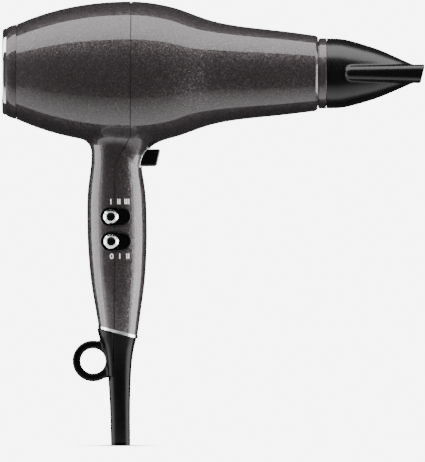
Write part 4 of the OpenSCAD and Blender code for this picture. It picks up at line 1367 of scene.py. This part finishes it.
@dataclass
class Studio:
    """White sweep, soft panels and the camera."""

    floor_z: float
    middle: tuple[float, float] = (62.1 * MM, -5.85 * MM)
    away: float = 8.0
    roll: float = math.radians(-0.3)
    view_height: float = 300.3 * MM
    white: float = 7.0
    # The overhead bank, seen from the barrel's axis: how high it is, and how steeply its two edges are seen
    bank_height: float = 1.2
    bank_front: float = math.radians(54)
    bank_back: float = math.radians(75)

    def camera(self) -> None:
        """Adds the camera, far off and level, looking at the switch side."""
        data = bpy.data.cameras.new("camera")
        data.sensor_width = 36.0
        data.lens = 36.0 * self.away / self.view_height
        data.clip_start, data.clip_end = 0.05, 50
        holder = bpy.data.objects.new("camera", data)
        bpy.context.scene.collection.objects.link(holder)
        holder.location = (self.middle[0], -self.away, self.middle[1])
        holder.rotation_euler = (Matrix.Rotation(self.roll, 3, "Y") @ Matrix.Rotation(math.pi / 2, 3, "X")).to_euler()
        bpy.context.scene.camera = holder

    def world(self) -> None:
        """A white surround behind everything and a dim one in reflections."""
        world = bpy.data.worlds.new("surround")
        world.use_nodes = True
        tree = world.node_tree
        tree.nodes.clear()
        path = add_node(tree, "ShaderNodeLightPath")
        white = add_node(tree, "ShaderNodeBackground", Color=(1, 1, 1, 1), Strength=self.white)
        # Brighter on the switch side than behind
        sky = add_node(tree, "ShaderNodeTexCoord")
        facing = add_node(tree, "ShaderNodeSeparateXYZ", Vector=sky.outputs["Generated"])
        level = add_node(tree, "ShaderNodeMapRange", {"interpolation_type": "SMOOTHSTEP"}, Value=facing.outputs[1],
                         From_Min=-0.5, From_Max=0.5, To_Min=0.07, To_Max=0.05)
        dim = add_node(tree, "ShaderNodeBackground", Color=(1, 1, 1, 1), Strength=level.outputs[0])
        mix = add_node(tree, "ShaderNodeMixShader", in_0=path.outputs["Is Camera Ray"], in_1=dim.outputs[0],
                       in_2=white.outputs[0])
        add_node(tree, "ShaderNodeOutputWorld", Surface=mix.outputs[0])
        bpy.context.scene.world = world

    def floor(self) -> None:
        """A pale floor that the sleeve's end stands on: an even glow, with a painted contact shadow only where
        something is near.
        """
        made = bmesh.new()
        corners = [made.verts.new((x, y, self.floor_z)) for x, y in ((-6, -4), (6, -4), (6, 8), (-6, 8))]
        made.faces.new(corners)
        sweep = finish_mesh("floor", made, PaperSweep("white_paper_sweep", "#ffffff", self.white))
        sweep.visible_glossy = sweep.visible_diffuse = False
        sweep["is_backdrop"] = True

    def lights(self) -> None:
        """Overhead bank, floor cards, two upright side strips that are dimmer in front, and a fill for matt faces."""
        x, high = 0.06, self.bank_height
        front, back = -high / math.tan(self.bank_front), high / math.tan(self.bank_back)
        for panel in (
            Panel("overhead_bank", (x, (front + back) / 2, AXIS_Z + high), (0, 0, -1), (5.0, back - front), 4.7),
            *(Panel(f"floor_card_{k}", (x, -0.26 + 0.035 * k, self.floor_z + 0.002), (0, 0, 1), (1.6, 0.035),
                    0.4 + 0.22 * k) for k in range(8)),
            Panel("left_strip", (-1.0, 0.135, -0.085), (1, 0, 0), (0.79, 0.93), 5.5),
            Panel("left_strip_edge", (-1.0, -0.4, -0.085), (1, 0, 0), (0.28, 0.93), 1.6),
            Panel("right_strip", (1.1, 0.06, -0.085), (-1, 0, 0), (0.84, 0.93), 7.6),
            Panel("right_strip_edge", (1.1, -0.49, -0.085), (-1, 0, 0), (0.26, 0.93), 3.0),
            Panel("front_fill", (0.1, -2.6, 0.9), (0, 1, -0.33), (1.2, 0.8), 20.0, False),
        ):
            panel.build()


def main() -> None:
    """Builds the dryer on its frame."""
    logging.basicConfig(level=logging.INFO, format="%(name)s %(message)s")
    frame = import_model()
    cad_box = [list(corner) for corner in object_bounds()]
    studio = Studio(floor_z=cad_box[0][2] - 0.02 * MM)
    studio.camera()
    for part in (FrameFinishes(frame=frame), Body(), Controls(), CoolButton(), Outlet(), RearCover(), Nozzle(),
                 CordEnd()):
        part.build()
        log.info("%s done", type(part).__name__)
    studio.world()
    studio.floor()
    studio.lights()


if __name__ == "__main__":
    main()
